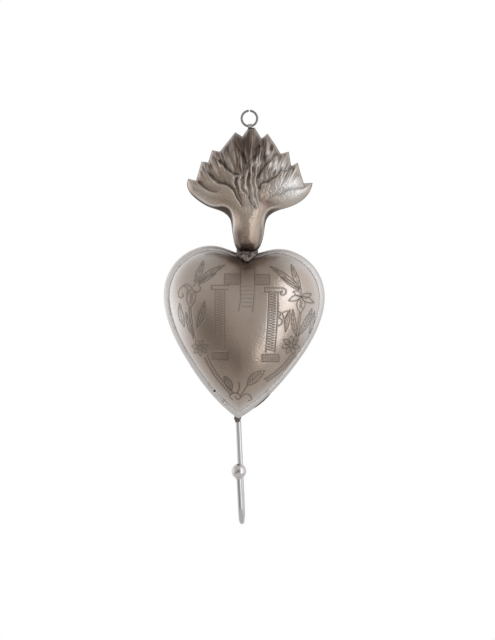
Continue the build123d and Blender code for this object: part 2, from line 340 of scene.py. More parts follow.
def face_outwards(piece: bpy.types.Object) -> None:
    """Joins a piece's doubled corners and turns its faces outwards."""
    work = bmesh.new()
    work.from_mesh(piece.data)
    bmesh.ops.remove_doubles(work, verts=work.verts, dist=1e-6)
    bmesh.ops.recalc_face_normals(work, faces=work.faces)
    work.to_mesh(piece.data)
    work.free()


# Nodes of the finishes


class Wiring:
    """A node tree with short calls to fill it."""

    def __init__(self, tree: bpy.types.NodeTree) -> None:
        """Starts on an empty tree."""
        self.tree = tree
        tree.nodes.clear()

    def add(self, kind: str, **inputs: object) -> bpy.types.Node:
        """A new node.

        Args:
            kind: Blender's name of the node's type.
            **inputs: Settings of the node, and values or outputs for its sockets, by their names with
                underscores for spaces. A name that starts with in and a number means that input.

        Returns:
            The node.
        """
        node = self.tree.nodes.new(kind)
        for name, value in inputs.items():
            if hasattr(node, name):
                setattr(node, name, value)
        for name, value in inputs.items():
            if hasattr(node, name):
                continue
            socket = node.inputs[int(name[2:])] if name[2:].isdigit() else node.inputs[name.replace("_", " ")]
            if isinstance(value, bpy.types.NodeSocket):
                self.tree.links.new(value, socket)
            else:
                socket.default_value = value
        return node

    def math(
        self, operation: str, first: object, second: object = 0.0, third: object = 0.5
    ) -> bpy.types.NodeSocket:
        """Result of a sum on two or three values or outputs."""
        return self.add("ShaderNodeMath", operation=operation, in0=first, in1=second, in2=third).outputs[0]

    def step(self, value: object, low: object, high: object, top: float = 1.0) -> bpy.types.NodeSocket:
        """A value eased from 0 at its low end to a top at its high end."""
        node = self.add(
            "ShaderNodeMapRange", interpolation_type="SMOOTHSTEP",
            Value=value, From_Min=low, From_Max=high, To_Max=top,
        )
        return node.outputs[0]

    def mix(self, share: object, low: object, high: object) -> bpy.types.NodeSocket:
        """Colour between two colours or outputs."""
        node = self.add("ShaderNodeMix", data_type="RGBA", in0=share, in6=low, in7=high)
        return node.outputs[2]

    def ramp(self, value: object, stops: tuple[tuple[float, float], ...]) -> bpy.types.NodeSocket:
        """Value carried through a ramp of grey stops, each a place and a grey."""
        node = self.add("ShaderNodeValToRGB", in0=value)
        elements = node.color_ramp.elements
        while len(elements) < len(stops):
            elements.new(1.0)
        for element, (place, grey) in zip(elements, stops):
            element.position = place
            element.color = (grey, grey, grey, 1)
        return node.outputs[0]

    def noise(
        self, place: object, scale: float, detail: float = 3.0, rough: float = 0.5
    ) -> bpy.types.NodeSocket:
        """Value of a soft noise at a place."""
        node = self.add("ShaderNodeTexNoise", Vector=place, Scale=scale, Detail=detail, Roughness=rough)
        return node.outputs[0]


def new_group(
    name: str, inputs: dict[str, float], outputs: tuple[str, ...]
) -> tuple[bpy.types.NodeTree, Wiring]:
    """An empty node group.

    Args:
        name: Name of the group.
        inputs: Its number inputs and their usual values. It has a Place input besides.
        outputs: Names of its number outputs.

    Returns:
        The group and the wiring to fill it.
    """
    group = bpy.data.node_groups.new(name, "ShaderNodeTree")
    group.interface.new_socket("Place", in_out="INPUT", socket_type="NodeSocketVector")
    for socket, value in inputs.items():
        made = group.interface.new_socket(socket, in_out="INPUT", socket_type="NodeSocketFloat")
        made.default_value = value
    for socket in outputs:
        group.interface.new_socket(socket, in_out="OUTPUT", socket_type="NodeSocketFloat")
    return group, Wiring(group)


class Effects:
    """Surface effects that several finishes share. Their Place input is in millimetres."""

    def __init__(self) -> None:
        """Builds each group once."""
        self.tarnish = self._tarnish()
        self.scratches = self._scratches()
        self.beating = self._beating()

    def _tarnish(self) -> bpy.types.NodeTree:
        """Cloudy stains with soft and broken edges, and how strong they are."""
        group, wire = new_group("tarnish_clouds", {"Size": 12.0, "Spread": 0.5}, ("Stain", "Speck"))
        start = wire.add("NodeGroupInput")
        near = wire.add(
            "ShaderNodeVectorMath", operation="DIVIDE", in0=start.outputs["Place"], in1=start.outputs["Size"]
        )
        cloud = wire.noise(near.outputs[0], 1.0, 5.0, 0.62)
        low = wire.math("SUBTRACT", 0.72, wire.math("MULTIPLY", start.outputs["Spread"], 0.4))
        high = wire.math("ADD", low, 0.22)
        stain = wire.step(cloud, low, high)
        speck = wire.step(wire.noise(start.outputs["Place"], 2.6, 2.0), 0.6, 0.74)
        wire.add("NodeGroupOutput", Stain=stain, Speck=speck)
        return group

    def _scratches(self) -> bpy.types.NodeTree:
        """Height and mask of fine wiping scratches that run one way."""
        group, wire = new_group("wiping_scratches", {"Length": 9.0, "Fineness": 5.0}, ("Height", "Line"))
        start = wire.add("NodeGroupInput")
        split = wire.add("ShaderNodeSeparateXYZ", in0=start.outputs["Place"])
        along = wire.math("DIVIDE", split.outputs[2], start.outputs["Length"])
        across = wire.math("MULTIPLY", split.outputs[0], start.outputs["Fineness"])
        deep = wire.math("MULTIPLY", split.outputs[1], start.outputs["Fineness"])
        place = wire.add("ShaderNodeCombineXYZ", in0=across, in1=deep, in2=along).outputs[0]
        height = wire.noise(place, 1.0, 3.0, 0.6)
        line = wire.ramp(wire.noise(place, 0.45, 2.0), ((0.0, 0.0), (0.64, 0.0), (0.69, 1.0), (0.75, 0.0)))
        wire.add("NodeGroupOutput", Height=height, Line=line)
        return group

    def _beating(self) -> bpy.types.NodeTree:
        """Height of shallow hammer marks with a fine grain on them."""
        group, wire = new_group("hammer_marks", {"Size": 3.0, "Grain": 0.25}, ("Height",))
        start = wire.add("NodeGroupInput")
        near = wire.add(
            "ShaderNodeVectorMath", operation="DIVIDE", in0=start.outputs["Place"], in1=start.outputs["Size"]
        )
        marks = wire.add("ShaderNodeTexVoronoi", feature="SMOOTH_F1", Vector=near.outputs[0], Smoothness=0.6)
        grain = wire.math("MULTIPLY", wire.noise(start.outputs["Place"], 3.0, 3.0), start.outputs["Grain"])
        wire.add("NodeGroupOutput", Height=wire.math("ADD", marks.outputs[0], grain))
        return group


# Middle of the painted shade round the heart's cleft, under the flame
CLEFT = (-0.0016, -0.006, -0.0675)


class Slot(Enum):
    """Material slots of the record."""

    TIN = "antique_tin"
    SOLDER = "solder"
    WIRE = "steel_wire"


@dataclass(frozen=True)
class MetalFinish:
    """One metal of the ornament, how it has aged, and the shade and highlights painted on it."""

    name: str
    slot: Slot
    clean: tuple[float, float, float]
    stained: tuple[float, float, float]
    # Colour of patina in recesses and of painted shade.
    recess: tuple[float, float, float]
    # Colour of rubbed wear and of painted highlights.
    rubbed: tuple[float, float, float] = (0.82, 0.805, 0.795)
    roughness: float = 0.34
    stain_roughness: float = 0.14
    stain_size: float = 12.0
    stain_spread: float = 0.5
    stain_share: float = 0.25
    mark_size: float = 3.0
    mark_height: float = 0.05
    scratch_height: float = 0.02
    scratch_length: float = 9.0
    scratch_fineness: float = 5.0
    metallic: float = 1.0
    # A painted dark spot round a middle point, standing in for shade or a dark reflection: its middle, reach
    # and strength.
    painted_dark_middle: tuple[float, float, float] = (0.0, 0.0, 0.0)
    painted_dark_reach: float = 0.0
    painted_dark_share: float = 0.8
    speck_share: float = 0.16
    line_roughness: float = 0.12
    dark_roughness: float = 0.25
    recess_dullness: float = 0.6

    def build(self, effects: Effects) -> bpy.types.Material:
        """Makes the material.

        Args:
            effects: The shared surface effects.

        Returns:
            The material, which reads a piece's marks where it has them: recess with painted shade, tone with
            painted shade, and rub with painted highlights.
        """
        material = bpy.data.materials.new(self.name)
        material.use_nodes = True
        wire = Wiring(material.node_tree)
        coordinates = wire.add("ShaderNodeTexCoord")
        place = wire.add(
            "ShaderNodeVectorMath", operation="SCALE", in0=coordinates.outputs["Object"], in3=1 / MILLIMETRE
        ).outputs[0]
        recess, tone, rub = (
            wire.add("ShaderNodeAttribute", attribute_name=mark).outputs["Fac"]
            for mark in ("recess", "tone", "rub")
        )
        tarnish = wire.add(
            "ShaderNodeGroup", node_tree=effects.tarnish, Place=place,
            Size=self.stain_size, Spread=self.stain_spread,
        )
        scratches = wire.add(
            "ShaderNodeGroup", node_tree=effects.scratches, Place=place,
            Length=self.scratch_length, Fineness=self.scratch_fineness,
        )
        beating = wire.add("ShaderNodeGroup", node_tree=effects.beating, Place=place, Size=self.mark_size)

        stain = wire.math("MULTIPLY", tarnish.outputs["Stain"], self.stain_share)
        # The tone browns the colour: aged tone, and painted shade on the pieces that carry it.
        stain = wire.math("MAXIMUM", stain, tone)
        colour = wire.mix(stain, (*self.clean, 1), (*self.stained, 1))
        # The rub lightens it: rubbed wear and painted highlights.
        colour = wire.mix(rub, colour, (*self.rubbed, 1))
        speck = wire.math("MULTIPLY", tarnish.outputs["Speck"], self.speck_share)
        # The recess darkens it: patina in recesses and painted shade.
        dark = wire.math("MAXIMUM", recess, speck)
        # Painted dark spot: shade round the heart's cleft, a dark reflection on the hook's ball.
        if self.painted_dark_reach:
            away = wire.add(
                "ShaderNodeVectorMath", operation="DISTANCE",
                in0=coordinates.outputs["Object"], in1=self.painted_dark_middle,
            ).outputs["Value"]
            dark = wire.math("MAXIMUM", dark, wire.step(away, self.painted_dark_reach, 0.0, self.painted_dark_share))
        colour = wire.mix(dark, colour, (*self.recess, 1))
        rough = wire.math("MULTIPLY_ADD", scratches.outputs["Line"], self.line_roughness, self.roughness)
        rough = wire.math("ADD", rough, wire.math("MULTIPLY", stain, self.stain_roughness))
        rough = wire.math("ADD", rough, wire.math("MULTIPLY", dark, self.dark_roughness))
        metallic = wire.math("SUBTRACT", self.metallic, wire.math("MULTIPLY", recess, self.recess_dullness))
        height = wire.math("MULTIPLY", beating.outputs["Height"], self.mark_height * MILLIMETRE)
        fine = wire.math("MULTIPLY", scratches.outputs["Height"], self.scratch_height * MILLIMETRE)
        bump = wire.add("ShaderNodeBump", Strength=1.0, Distance=1.0, Height=wire.math("ADD", height, fine))
        shader = wire.add(
            "ShaderNodeBsdfPrincipled",
            Base_Color=colour, Roughness=rough, Metallic=metallic, Normal=bump.outputs[0],
        )
        wire.add("ShaderNodeOutputMaterial", in0=shader.outputs[0])
        return material


@dataclass(frozen=True)
class Palette:
    """The finishes of all the pieces."""

    heart: MetalFinish = MetalFinish(
        "engraved_heart_tin", Slot.TIN, (0.46, 0.365, 0.30), (0.17, 0.12, 0.095), (0.03, 0.02, 0.015),
        roughness=0.2, mark_size=5.0, mark_height=0.05, scratch_height=0.012,
    )
    plate: MetalFinish = MetalFinish(
        "back_plate_tin", Slot.TIN, (0.72, 0.69, 0.675), (0.44, 0.38, 0.355), (0.1, 0.08, 0.07),
        roughness=0.3, mark_size=2.2, mark_height=0.07, scratch_height=0.03, stain_share=0.6,
        # Painted shade round the cleft, under the flame.
        painted_dark_middle=CLEFT, painted_dark_reach=0.021, painted_dark_share=0.65,
    )
    flame: MetalFinish = MetalFinish(
        "beaten_flame_tin", Slot.TIN, (0.50, 0.40, 0.325), (0.15, 0.105, 0.085), (0.03, 0.019, 0.015),
        roughness=0.2, mark_size=1.4, mark_height=0.06, stain_size=7.0, scratch_height=0.03,
    )
    edge: MetalFinish = MetalFinish(
        "flame_back_tin", Slot.TIN, (0.3, 0.25, 0.225), (0.16, 0.12, 0.1), (0.05, 0.035, 0.03),
        roughness=0.38, mark_size=2.2, mark_height=0.06,
    )
    collar: MetalFinish = MetalFinish(
        "sooty_solder", Slot.SOLDER, (0.2, 0.175, 0.165), (0.09, 0.075, 0.07), (0.03, 0.025, 0.02),
        roughness=0.42, mark_size=0.8, mark_height=0.14, stain_size=1.6, stain_spread=0.6,
    )
    strip: MetalFinish = MetalFinish(
        "eye_strip_tin", Slot.TIN, (0.56, 0.51, 0.47), (0.3, 0.24, 0.21), (0.05, 0.035, 0.03),
        roughness=0.36, mark_size=1.0, mark_height=0.05,
    )
    solder: MetalFinish = MetalFinish(
        "rough_solder", Slot.SOLDER, (0.33, 0.28, 0.255), (0.13, 0.1, 0.088), (0.03, 0.02, 0.018),
        roughness=0.34, mark_size=0.9, mark_height=0.16, stain_size=2.2, stain_spread=0.7, stain_share=0.7,
    )
    seam: MetalFinish = MetalFinish(
        "seam_solder_line", Slot.SOLDER, (0.8, 0.77, 0.755), (0.46, 0.4, 0.375), (0.08, 0.06, 0.05),
        roughness=0.32, mark_size=0.8, mark_height=0.06, stain_size=5.0, stain_spread=0.6, stain_share=0.6,
        # Painted shade round the cleft, under the flame.
        painted_dark_middle=CLEFT, painted_dark_reach=0.021, painted_dark_share=0.75,
    )
    rod: MetalFinish = MetalFinish(
        "drawn_hook_wire", Slot.WIRE, (0.62, 0.615, 0.61), (0.34, 0.33, 0.32), (0.07, 0.07, 0.07),
        roughness=0.09, mark_size=3.0, mark_height=0.01, scratch_height=0.006, scratch_length=30.0,
    )
    ball: MetalFinish = MetalFinish(
        "hook_ball_steel", Slot.WIRE, (0.72, 0.69, 0.69), (0.5, 0.45, 0.45), (0.08, 0.07, 0.07),
        roughness=0.07, mark_size=2.4, mark_height=0.02, stain_size=4.0, scratch_height=0.005,
    )
    ring: MetalFinish = MetalFinish(
        "dark_ring_wire", Slot.WIRE, (0.3, 0.285, 0.28), (0.16, 0.14, 0.13), (0.03, 0.025, 0.02),
        roughness=0.34, mark_size=2.0, mark_height=0.02, stain_size=3.0,
    )


class Workshop:
    """Puts a finish and a body on each piece and reports it."""

    def __init__(self, frame: dict) -> None:
        """Builds the shared surface effects and holds the palette; each finish is made at its first use.
        """
        self.frame = frame
        self.effects = Effects()
        self.palette = Palette()
        self.made: dict[str, bpy.types.Material] = {}

    def material(self, finish: MetalFinish) -> bpy.types.Material:
        """The material of a finish, built at its first use."""
        if finish.name not in self.made:
            self.made[finish.name] = finish.build(self.effects)
        return self.made[finish.name]

    def coat(self, piece: bpy.types.Object, finish: MetalFinish) -> None:
        """Gives a piece its material."""
        piece.data.materials.clear()
        piece.data.materials.append(self.material(finish))

    def dress(self, node: str, finish: MetalFinish) -> None:
        """Gives a CAD node that stays in sight its finish."""
        self.coat(self.frame["nodes"][node], finish)
        log.info("%s keeps its CAD shape in %s", node, finish.name)

    def place(self, piece: bpy.types.Object, finish: MetalFinish, body: str, *nodes: str) -> None:
        """Finishes a new piece, mounts it on a body and hides the nodes that it stands for."""
        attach(piece, body)
        self.coat(piece, finish)
        if nodes:
            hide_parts(*nodes)
        faces = sum(len(face.vertices) - 2 for face in piece.data.polygons)
        log.info("%s has %d triangles in %s", piece.name, faces, finish.name)


# Heart


@dataclass
class HeartShape:
    """The puffed heart's own surface, from its outline at the seam to its crown."""

    square: float = 0.0005
    half_width: float = 0.04025
    depth: float = 0.024
    lean: float = 2.8
    seam_depth: float = 0.0068
    seam_inset: float = 0.0026
    centre_row: float = 62.0
    roundness: float = 2.2
    fullness: float = 0.75
    crease_length: float = 0.5
    cleft: Pair = (-0.0016, -0.06874)
    outline: Line = (
        (0, 0), (13, -3.8), (30.5, -8.5), (54, -3.5), (72.5, 13), (80.3, 36),
        (78.3, 57), (68, 84), (53.7, 107.5), (36.4, 130.5), (17.2, 150), (0, 163),
    )
    crown: Line = ((0, -11), (14, -10.6), (30.5, -8.5))
    crown_tip: Line = ((19, 148.5), (0, 157.5))
    outline_points: int = 900
    share_count: int = 90
    angle_count: int = 361
    wall_y: float = 0.0
    shares: np.ndarray = field(init=False)
    angles: np.ndarray = field(init=False)
    reach: np.ndarray = field(init=False)
    run: np.ndarray = field(init=False)

    def __post_init__(self) -> None:
        """Tabulates how far the surface reaches at each share and angle."""
        self.wall_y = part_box("heart_back")[1].y
        base = np.array(self.outline, float)
        between = self.outline[len(self.crown) : -len(self.crown_tip)]
        crown = np.array(self.crown + between + self.crown_tip, float)
        knots = chord_knots(base)
        at = np.linspace(0, 1, self.outline_points)
        low = cubic_through(base, knots, at)
        high = cubic_through(crown, knots, at)
        self.shares = np.sin(np.linspace(0, pi / 2, self.share_count))
        self.angles = np.linspace(0, pi, self.angle_count)
        reach = []
        for share in self.shares:
            line = low + (high - low) * self.softness(share)
            angle = np.arctan2(line[:, 0], self.centre_row - line[:, 1])
            radius = np.hypot(line[:, 0], self.centre_row - line[:, 1])
            angle[0], angle[-1] = 0, pi
            reach.append(np.interp(self.angles, angle, radius) * share * self.square)
        self.reach = np.array(reach) * (self.half_width - self.seam_inset) / self.half_width
        rise = self.rise(self.shares)[:, None]
        steps = np.hypot(np.diff(self.reach, axis=0), np.diff(rise, axis=0))
        self.run = np.concatenate([np.zeros((1, len(self.angles))), np.cumsum(steps, axis=0)])

    def softness(self, share: float) -> float:
        """How far the cleft has died out at a share of the way from the crown to the seam."""
        return float(smooth_step(np.array(min(1.0, (1 - share) / self.crease_length))))

    def rise(self, share: np.ndarray) -> np.ndarray:
        """Height over the seam at a share of the way from the crown to the seam."""
        return (self.depth - self.seam_depth) * np.clip(1 - share**self.roundness, 0, 1) ** self.fullness

    def drawn(self, points: np.ndarray) -> np.ndarray:
        """Places on the drawing turned into places across the heart and above its centre, in metres."""
        forward = 0.015
        made = []
        for column, row in points:
            x, z = DRAWING.place(column, row, forward)
            made.append((x - self.cleft[0], z - self.cleft[1]))
        flat = np.array(made)
        turn = radians(self.lean)
        across = flat[:, 0] * cos(turn) - flat[:, 1] * sin(turn)
        up = flat[:, 0] * sin(turn) + flat[:, 1] * cos(turn)
        return np.column_stack([across, up + self.centre_row * self.square])

    def column(self, table: np.ndarray, angle: np.ndarray) -> np.ndarray:
        """The rows of a table at each angle, one row for each share."""
        place = np.abs(angle) / pi * (len(self.angles) - 1)
        low = np.clip(place.astype(int), 0, len(self.angles) - 2)
        part = place - low
        return table[:, low] * (1 - part) + table[:, low + 1] * part

    def share_at(self, table: np.ndarray, angle: np.ndarray, value: np.ndarray) -> np.ndarray:
        """The share at which a table reaches a value, at each angle."""
        columns = self.column(table, angle)
        above = np.clip((columns < value).sum(axis=0), 1, len(self.shares) - 1)
        index = np.arange(len(angle))
        low, high = columns[above - 1, index], columns[above, index]
        part = np.clip((value - low) / np.maximum(high - low, 1e-12), 0, 1)
        return self.shares[above - 1] + part * (self.shares[above] - self.shares[above - 1])

    def value_at(self, table: np.ndarray, angle: np.ndarray, share: np.ndarray) -> np.ndarray:
        """The value of a table at each share and angle."""
        columns = self.column(table, angle)
        above = np.clip(np.searchsorted(self.shares, share), 1, len(self.shares) - 1)
        index = np.arange(len(angle))
        part = (share - self.shares[above - 1]) / (self.shares[above] - self.shares[above - 1])
        return columns[above - 1, index] * (1 - part) + columns[above, index] * part

    def unroll(self, flat: np.ndarray) -> np.ndarray:
        """Places across the heart laid out flat, as far from the crown as they are along the surface."""
        angle = np.arctan2(flat[:, 0], flat[:, 1])
        share = self.share_at(self.reach, angle, np.hypot(*flat.T))
        run = self.value_at(self.run, angle, share)
        return np.column_stack([run * np.sin(angle), run * np.cos(angle)])

    def edge_run(self, angle: np.ndarray) -> np.ndarray:
        """How far along the surface the seam lies from the crown, at each angle."""
        return self.value_at(self.run, angle, np.ones_like(angle))

    def raised(self, unrolled: np.ndarray) -> np.ndarray:
        """Unrolled places put back on the puffed surface, in the heart's own upright frame."""
        angle = np.arctan2(unrolled[:, 0], unrolled[:, 1])
        share = self.share_at(self.run, angle, np.hypot(*unrolled.T))
        reach = self.value_at(self.reach, angle, share)
        front = self.wall_y - self.seam_depth - self.rise(share)
        up = reach * np.cos(angle) - self.centre_row * self.square
        return np.column_stack([reach * np.sin(angle), front, up])

    def leaned(self, points: np.ndarray) -> np.ndarray:
        """Points of the heart's upright frame put where the heart hangs."""
        turn = radians(self.lean)
        x = points[:, 0] * cos(turn) + points[:, 2] * sin(turn) + self.cleft[0]
        z = -points[:, 0] * sin(turn) + points[:, 2] * cos(turn) + self.cleft[1]
        return np.column_stack([x, points[:, 1], z])

    def seam(self, inset: float, depth: float, count: int) -> np.ndarray:
        """Closed line round the heart at an inset from its widest outline and a depth from the wall."""
        base = np.array(self.outline, float)
        half = cubic_through(base, chord_knots(base), np.linspace(0, 1, count // 2 + 1))
        shrink = (self.half_width - inset) / self.half_width
        across = half[:, 0] * shrink * self.square
        up = -(self.centre_row + (half[:, 1] - self.centre_row) * shrink) * self.square
        right = np.column_stack([across, np.full(len(up), self.wall_y - depth), up])
        left = right[-2:0:-1] * np.array([-1, 1, 1])
        return self.leaned(np.concatenate([right, left]))


@dataclass(frozen=True)
class Stroke:
    """One engraved line, drawn on squares."""

    points: Line
    curved: bool = True
    strength: float = 1.0

    def line(self) -> np.ndarray:
        """The line as short runs."""
        return rounded(self.points) if self.curved else np.array(self.points, float)


def way_between(start: Pair, end: Pair) -> tuple[np.ndarray, np.ndarray]:
    """The way from one point to another, and a unit way across it."""
    run = np.array(end, float) - np.array(start, float)
    return run, np.array([-run[1], run[0]]) / np.hypot(*run)


class Graver:
    """Draws the engraving's motifs out of single strokes."""

    def __init__(self) -> None:
        """Starts with no strokes."""
        self.strokes: list[Stroke] = []

    def stroke(self, *points: Pair, curved: bool = True, strength: float = 1.0) -> None:
        """One line through points."""
        self.strokes.append(Stroke(points, curved, strength))

    def leaf(
        self, base: Pair, tip: Pair, width: float, bend: float = 0.0, veins: int = 0, rib: bool = True
    ) -> None:
        """A pointed leaf.

        Args:
            base: Where it leaves its stem.
            tip: Its point.
            width: Across its widest place, in squares.
            bend: How far its middle leaves the straight line, to the right of the way to the tip.
            veins: Pairs of short veins.
            rib: Whether it has a middle rib.
        """
        run, side = way_between(base, tip)

        def at(share: float, across: float) -> Pair:
            """A point along the leaf and across it."""
            swing = bend * 4 * share * (1 - share)
            point = np.array(base) + run * share + side * (swing + across)
            return float(point[0]), float(point[1])

        halves = ((0.22, 0.36), (0.48, 0.5), (0.76, 0.32))
        for turn in (-1, 1):
            self.stroke(base, *(at(share, turn * width * wide) for share, wide in halves), tip)
        if rib:
            self.stroke(at(0.06, 0), at(0.45, 0), at(0.84, 0), strength=0.8)
        for index in range(veins):
            share = 0.2 + 0.55 * index / max(1, veins - 1)
            for turn in (-1, 1):
                self.stroke(at(share, 0), at(share + 0.12, turn * width * 0.36), curved=False, strength=0.7)

    def zigzag(self, top: Pair, foot: Pair, width: float, turns: int) -> None:
        """A zigzag that fills a band from its top to its foot."""
        run, side = way_between(top, foot)
        points = []
        for index in range(turns * 2 + 1):
            swing = side * width / 2 * (1 if index % 2 else -1)
            point = np.array(top) + run * index / (turns * 2) + swing
            points.append((float(point[0]), float(point[1])))
        self.stroke(*points, curved=False, strength=0.85)

    def bar(self, low: Pair, high: Pair, lines: int, upright: bool = False) -> None:
        """A box filled with straight lines along it or up it."""
        (left, top), (right, foot) = low, high
        self.stroke((left, top), (right, top), (right, foot), (left, foot), (left, top), curved=False)
        for index in range(1, lines + 1):
            share = index / (lines + 1)
            if upright:
                column = left + (right - left) * share
                self.stroke((column, top), (column, foot), curved=False, strength=0.7)
            else:
                row = top + (foot - top) * share
                self.stroke((left, row), (right, row), curved=False, strength=0.7)

    def flower(self, centre: Pair, radius: float, petals: int, turn: float, width: float) -> None:
        """Pointed petals round a small eye."""
        for index in range(petals):
            angle = turn + 2 * pi * index / petals
            way = np.array([cos(angle), sin(angle)])
            start = np.array(centre) + way * radius * 0.22
            tip = np.array(centre) + way * radius
            self.leaf(tuple(start), tuple(tip), width, rib=False)
            middle = np.array(centre) + way * radius * 0.62
            self.stroke(tuple(start), tuple(middle), curved=False, strength=0.7)
        ring = [
            (centre[0] + radius * 0.16 * cos(pi * step / 4), centre[1] + radius * 0.16 * sin(pi * step / 4))
            for step in range(9)
        ]
        self.stroke(*ring)

    def ladder(self, start: Pair, end: Pair, width: float, rungs: int, bend: float = 0.0) -> None:
        """A stalk of two lines with short rungs between them."""
        run, side = way_between(start, end)
        for turn in (-0.5, 0.5):
            rail = [
                tuple(np.array(start) + run * share + side * (turn * width + bend * 4 * share * (1 - share)))
                for share in (0, 0.33, 0.67, 1)
            ]
            self.stroke(*rail)
        for index in range(rungs):
            share = (index + 0.5) / rungs
            middle = np.array(start) + run * share + side * bend * 4 * share * (1 - share)
            tilt = run / rungs * 0.35
            self.stroke(
                tuple(middle - side * width * 0.45 - tilt), tuple(middle + side * width * 0.45 + tilt),
                curved=False, strength=0.8,
            )


def engraving() -> list[Stroke]:
    """The engraved front: a cross between two hatched columns, with a flowering spray on each side.

    Returns:
        All strokes, on the drawing's squares.
    """
    graver = Graver()
    # Cross
    graver.bar((224.6, 274), (240.5, 284.2), 6)
    graver.bar((254.5, 274.6), (269.3, 284.6), 6)
    graver.stroke((240.5, 267), (254.5, 267), curved=False)
    graver.stroke((240.5, 267), (240.5, 300), (238.6, 311), curved=False)
    graver.stroke((254.5, 267), (253.6, 300), (252.4, 311), curved=False)
    for row in range(6):
        graver.stroke((242, 286.5 + row * 4), (252.6, 286.5 + row * 4), curved=False, strength=0.6)
    # Columns
    for cap_left, cap_right, top, foot, lean in ((211.5, 229, 285.5, 349, 0.0), (264, 283, 288, 352, -3.0)):
        middle = (cap_left + cap_right) / 2 - (0.4 if lean else 0.2)
        graver.stroke((cap_left, top), (cap_right, top), curved=False)
        graver.stroke((cap_left, top + 4), (cap_right - 1, top + 4), curved=False)
        graver.stroke((cap_left, top), (cap_left, top + 4), curved=False)
        for side in (-4.6, 4.6):
            graver.stroke((middle + side, top + 4), (middle + side + lean, foot), curved=False)
        graver.zigzag((middle, top + 5), (middle + lean, foot - 1), 6.4, 22)
        graver.bar((cap_left + 1 + lean, foot + 3), (cap_right - 1 + lean, foot + 10), 9, upright=True)
    graver.stroke((283, 288), (285.6, 290.5), (284.2, 294.6), (280.6, 294.6), (280.4, 291.4), (282.6, 291.2))
    graver.stroke(
        (277.6, 311.6), (280.2, 313), (279.2, 316), (277.8, 317.4), (281.4, 319.6), (281.2, 324),
        (278, 325.7),
    )
    # Right spray
    graver.leaf((300.4, 289), (270, 266.4), 5.4, 0.8, 3)
    graver.leaf((301, 288), (291, 264), 5.2, -0.6, 3)
    graver.leaf((299.6, 290.4), (280.4, 277), 3.8, 0.6, 2)
    graver.stroke((301.4, 288.6), (302.2, 293.4))
    sepals = (((293.4, 291.4), 4.6), ((288.6, 301), 5.2), ((311.6, 294), 4.6), ((314.4, 302.6), 5.2))
    for tip, width in sepals:
        graver.leaf((301.6, 296.4), tip, width, 0.5, rib=False)
    graver.leaf((301.6, 297.2), (300.6, 313), 8.4, 0.0, rib=False)
    graver.zigzag((301.4, 299.4), (301, 308), 2.6, 4)
    graver.ladder((300.6, 313), (297.4, 336.6), 1.8, 0)
    graver.leaf((296.8, 337), (293, 309.5), 4.8, -1.0, 4)
    graver.leaf((298.6, 336), (312.4, 308.6), 5.6, 1.2, 5)
    graver.leaf((309.6, 333.6), (315, 311.4), 3.6, 0.6)
    graver.leaf((285.6, 332), (290, 309.6), 4.2, -0.4)
    graver.stroke((281.8, 313), (283.8, 319), (285, 326))
    graver.stroke((281.8, 313), (287.8, 311.2), (284.8, 318.4))
    graver.ladder((297.2, 336.6), (294, 343), 3.4, 3)
    graver.flower((291, 345.6), 9.4, 7, 0.25, 4.2)
    graver.ladder((293.6, 354), (265.6, 380.6), 3.6, 14, -2.4)
    graver.leaf((247, 385.6), (264.6, 371), 8.6, -1.0, 5)
    # Left spray
    graver.leaf((197.6, 282), (224.6, 265), 5.2, -0.8, 3)
    graver.leaf((194.6, 282), (203.4, 260.6), 5.0, 0.8, 3)
    graver.leaf((198.8, 284), (216, 273.4), 3.8, -0.6, 2)
    graver.stroke((196.4, 282.4), (193.4, 286.2))
    graver.stroke(
        (192, 287.6), (186.6, 284.4), (181, 287.8), (178.4, 293.8), (180.4, 297.4), (183.6, 296),
        (182.4, 293.4),
    )
    graver.stroke((184, 285.4), (188, 289.4), (186.4, 293.2))
    graver.stroke((198.4, 284.6), (200.6, 288.6), (197.4, 292.4), (194.4, 291))
    graver.leaf((192.2, 288.6), (190.6, 308.4), 8.8, 0.0, rib=False)
    graver.zigzag((192, 293), (191.2, 304), 2.8, 5)
    graver.leaf((184.4, 327), (179.6, 303.4), 5.0, -1.0, 2)
    graver.leaf((197.6, 327.6), (204.6, 301.4), 5.2, 1.2, 3)
    graver.ladder((190.4, 308.6), (194.6, 338), 1.8, 0, 0.6)
    graver.leaf((193.8, 336.4), (186, 312.6), 4.0, -0.6, 3)
    graver.flower((200.4, 347.6), 8.6, 7, 0.6, 4.0)
    graver.ladder((206, 356.6), (232.4, 394.2), 3.6, 16, 2.2)
    graver.leaf((231.4, 391), (223.8, 376), 6.6, 0.8, 5)
    # Knot of the sprays
    graver.stroke(
        (232.6, 400), (229.4, 396.4), (233, 393.2), (238.6, 394.2), (240.6, 397.6), (237, 399.4),
        (235.4, 396.8),
    )
    graver.stroke((240.6, 397.6), (245, 394.4), (250.8, 396.6), (251.4, 400), (248.4, 401))
    graver.stroke((246.6, 386), (243.6, 391), (240.6, 395))
    graver.stroke((237, 393.6), (239.4, 386.6), (238.6, 382.4))
    return [replace(stroke, strength=stroke.strength * worn(stroke)) for stroke in graver.strokes]


def worn(stroke: Stroke) -> float:
    """Share of a stroke's strength left by wear, less on the left column, the cross and the left spray."""
    x, y = np.mean(stroke.points, axis=0)
    column = soft_spot(x, y, (220, 320), (12, 40))
    cross = soft_spot(x, y, (247, 290), (16, 20))
    spray = 1 / (1 + exp((x - 205) / 4))
    return 1 - 0.5 * column - 0.35 * cross - 0.25 * spray


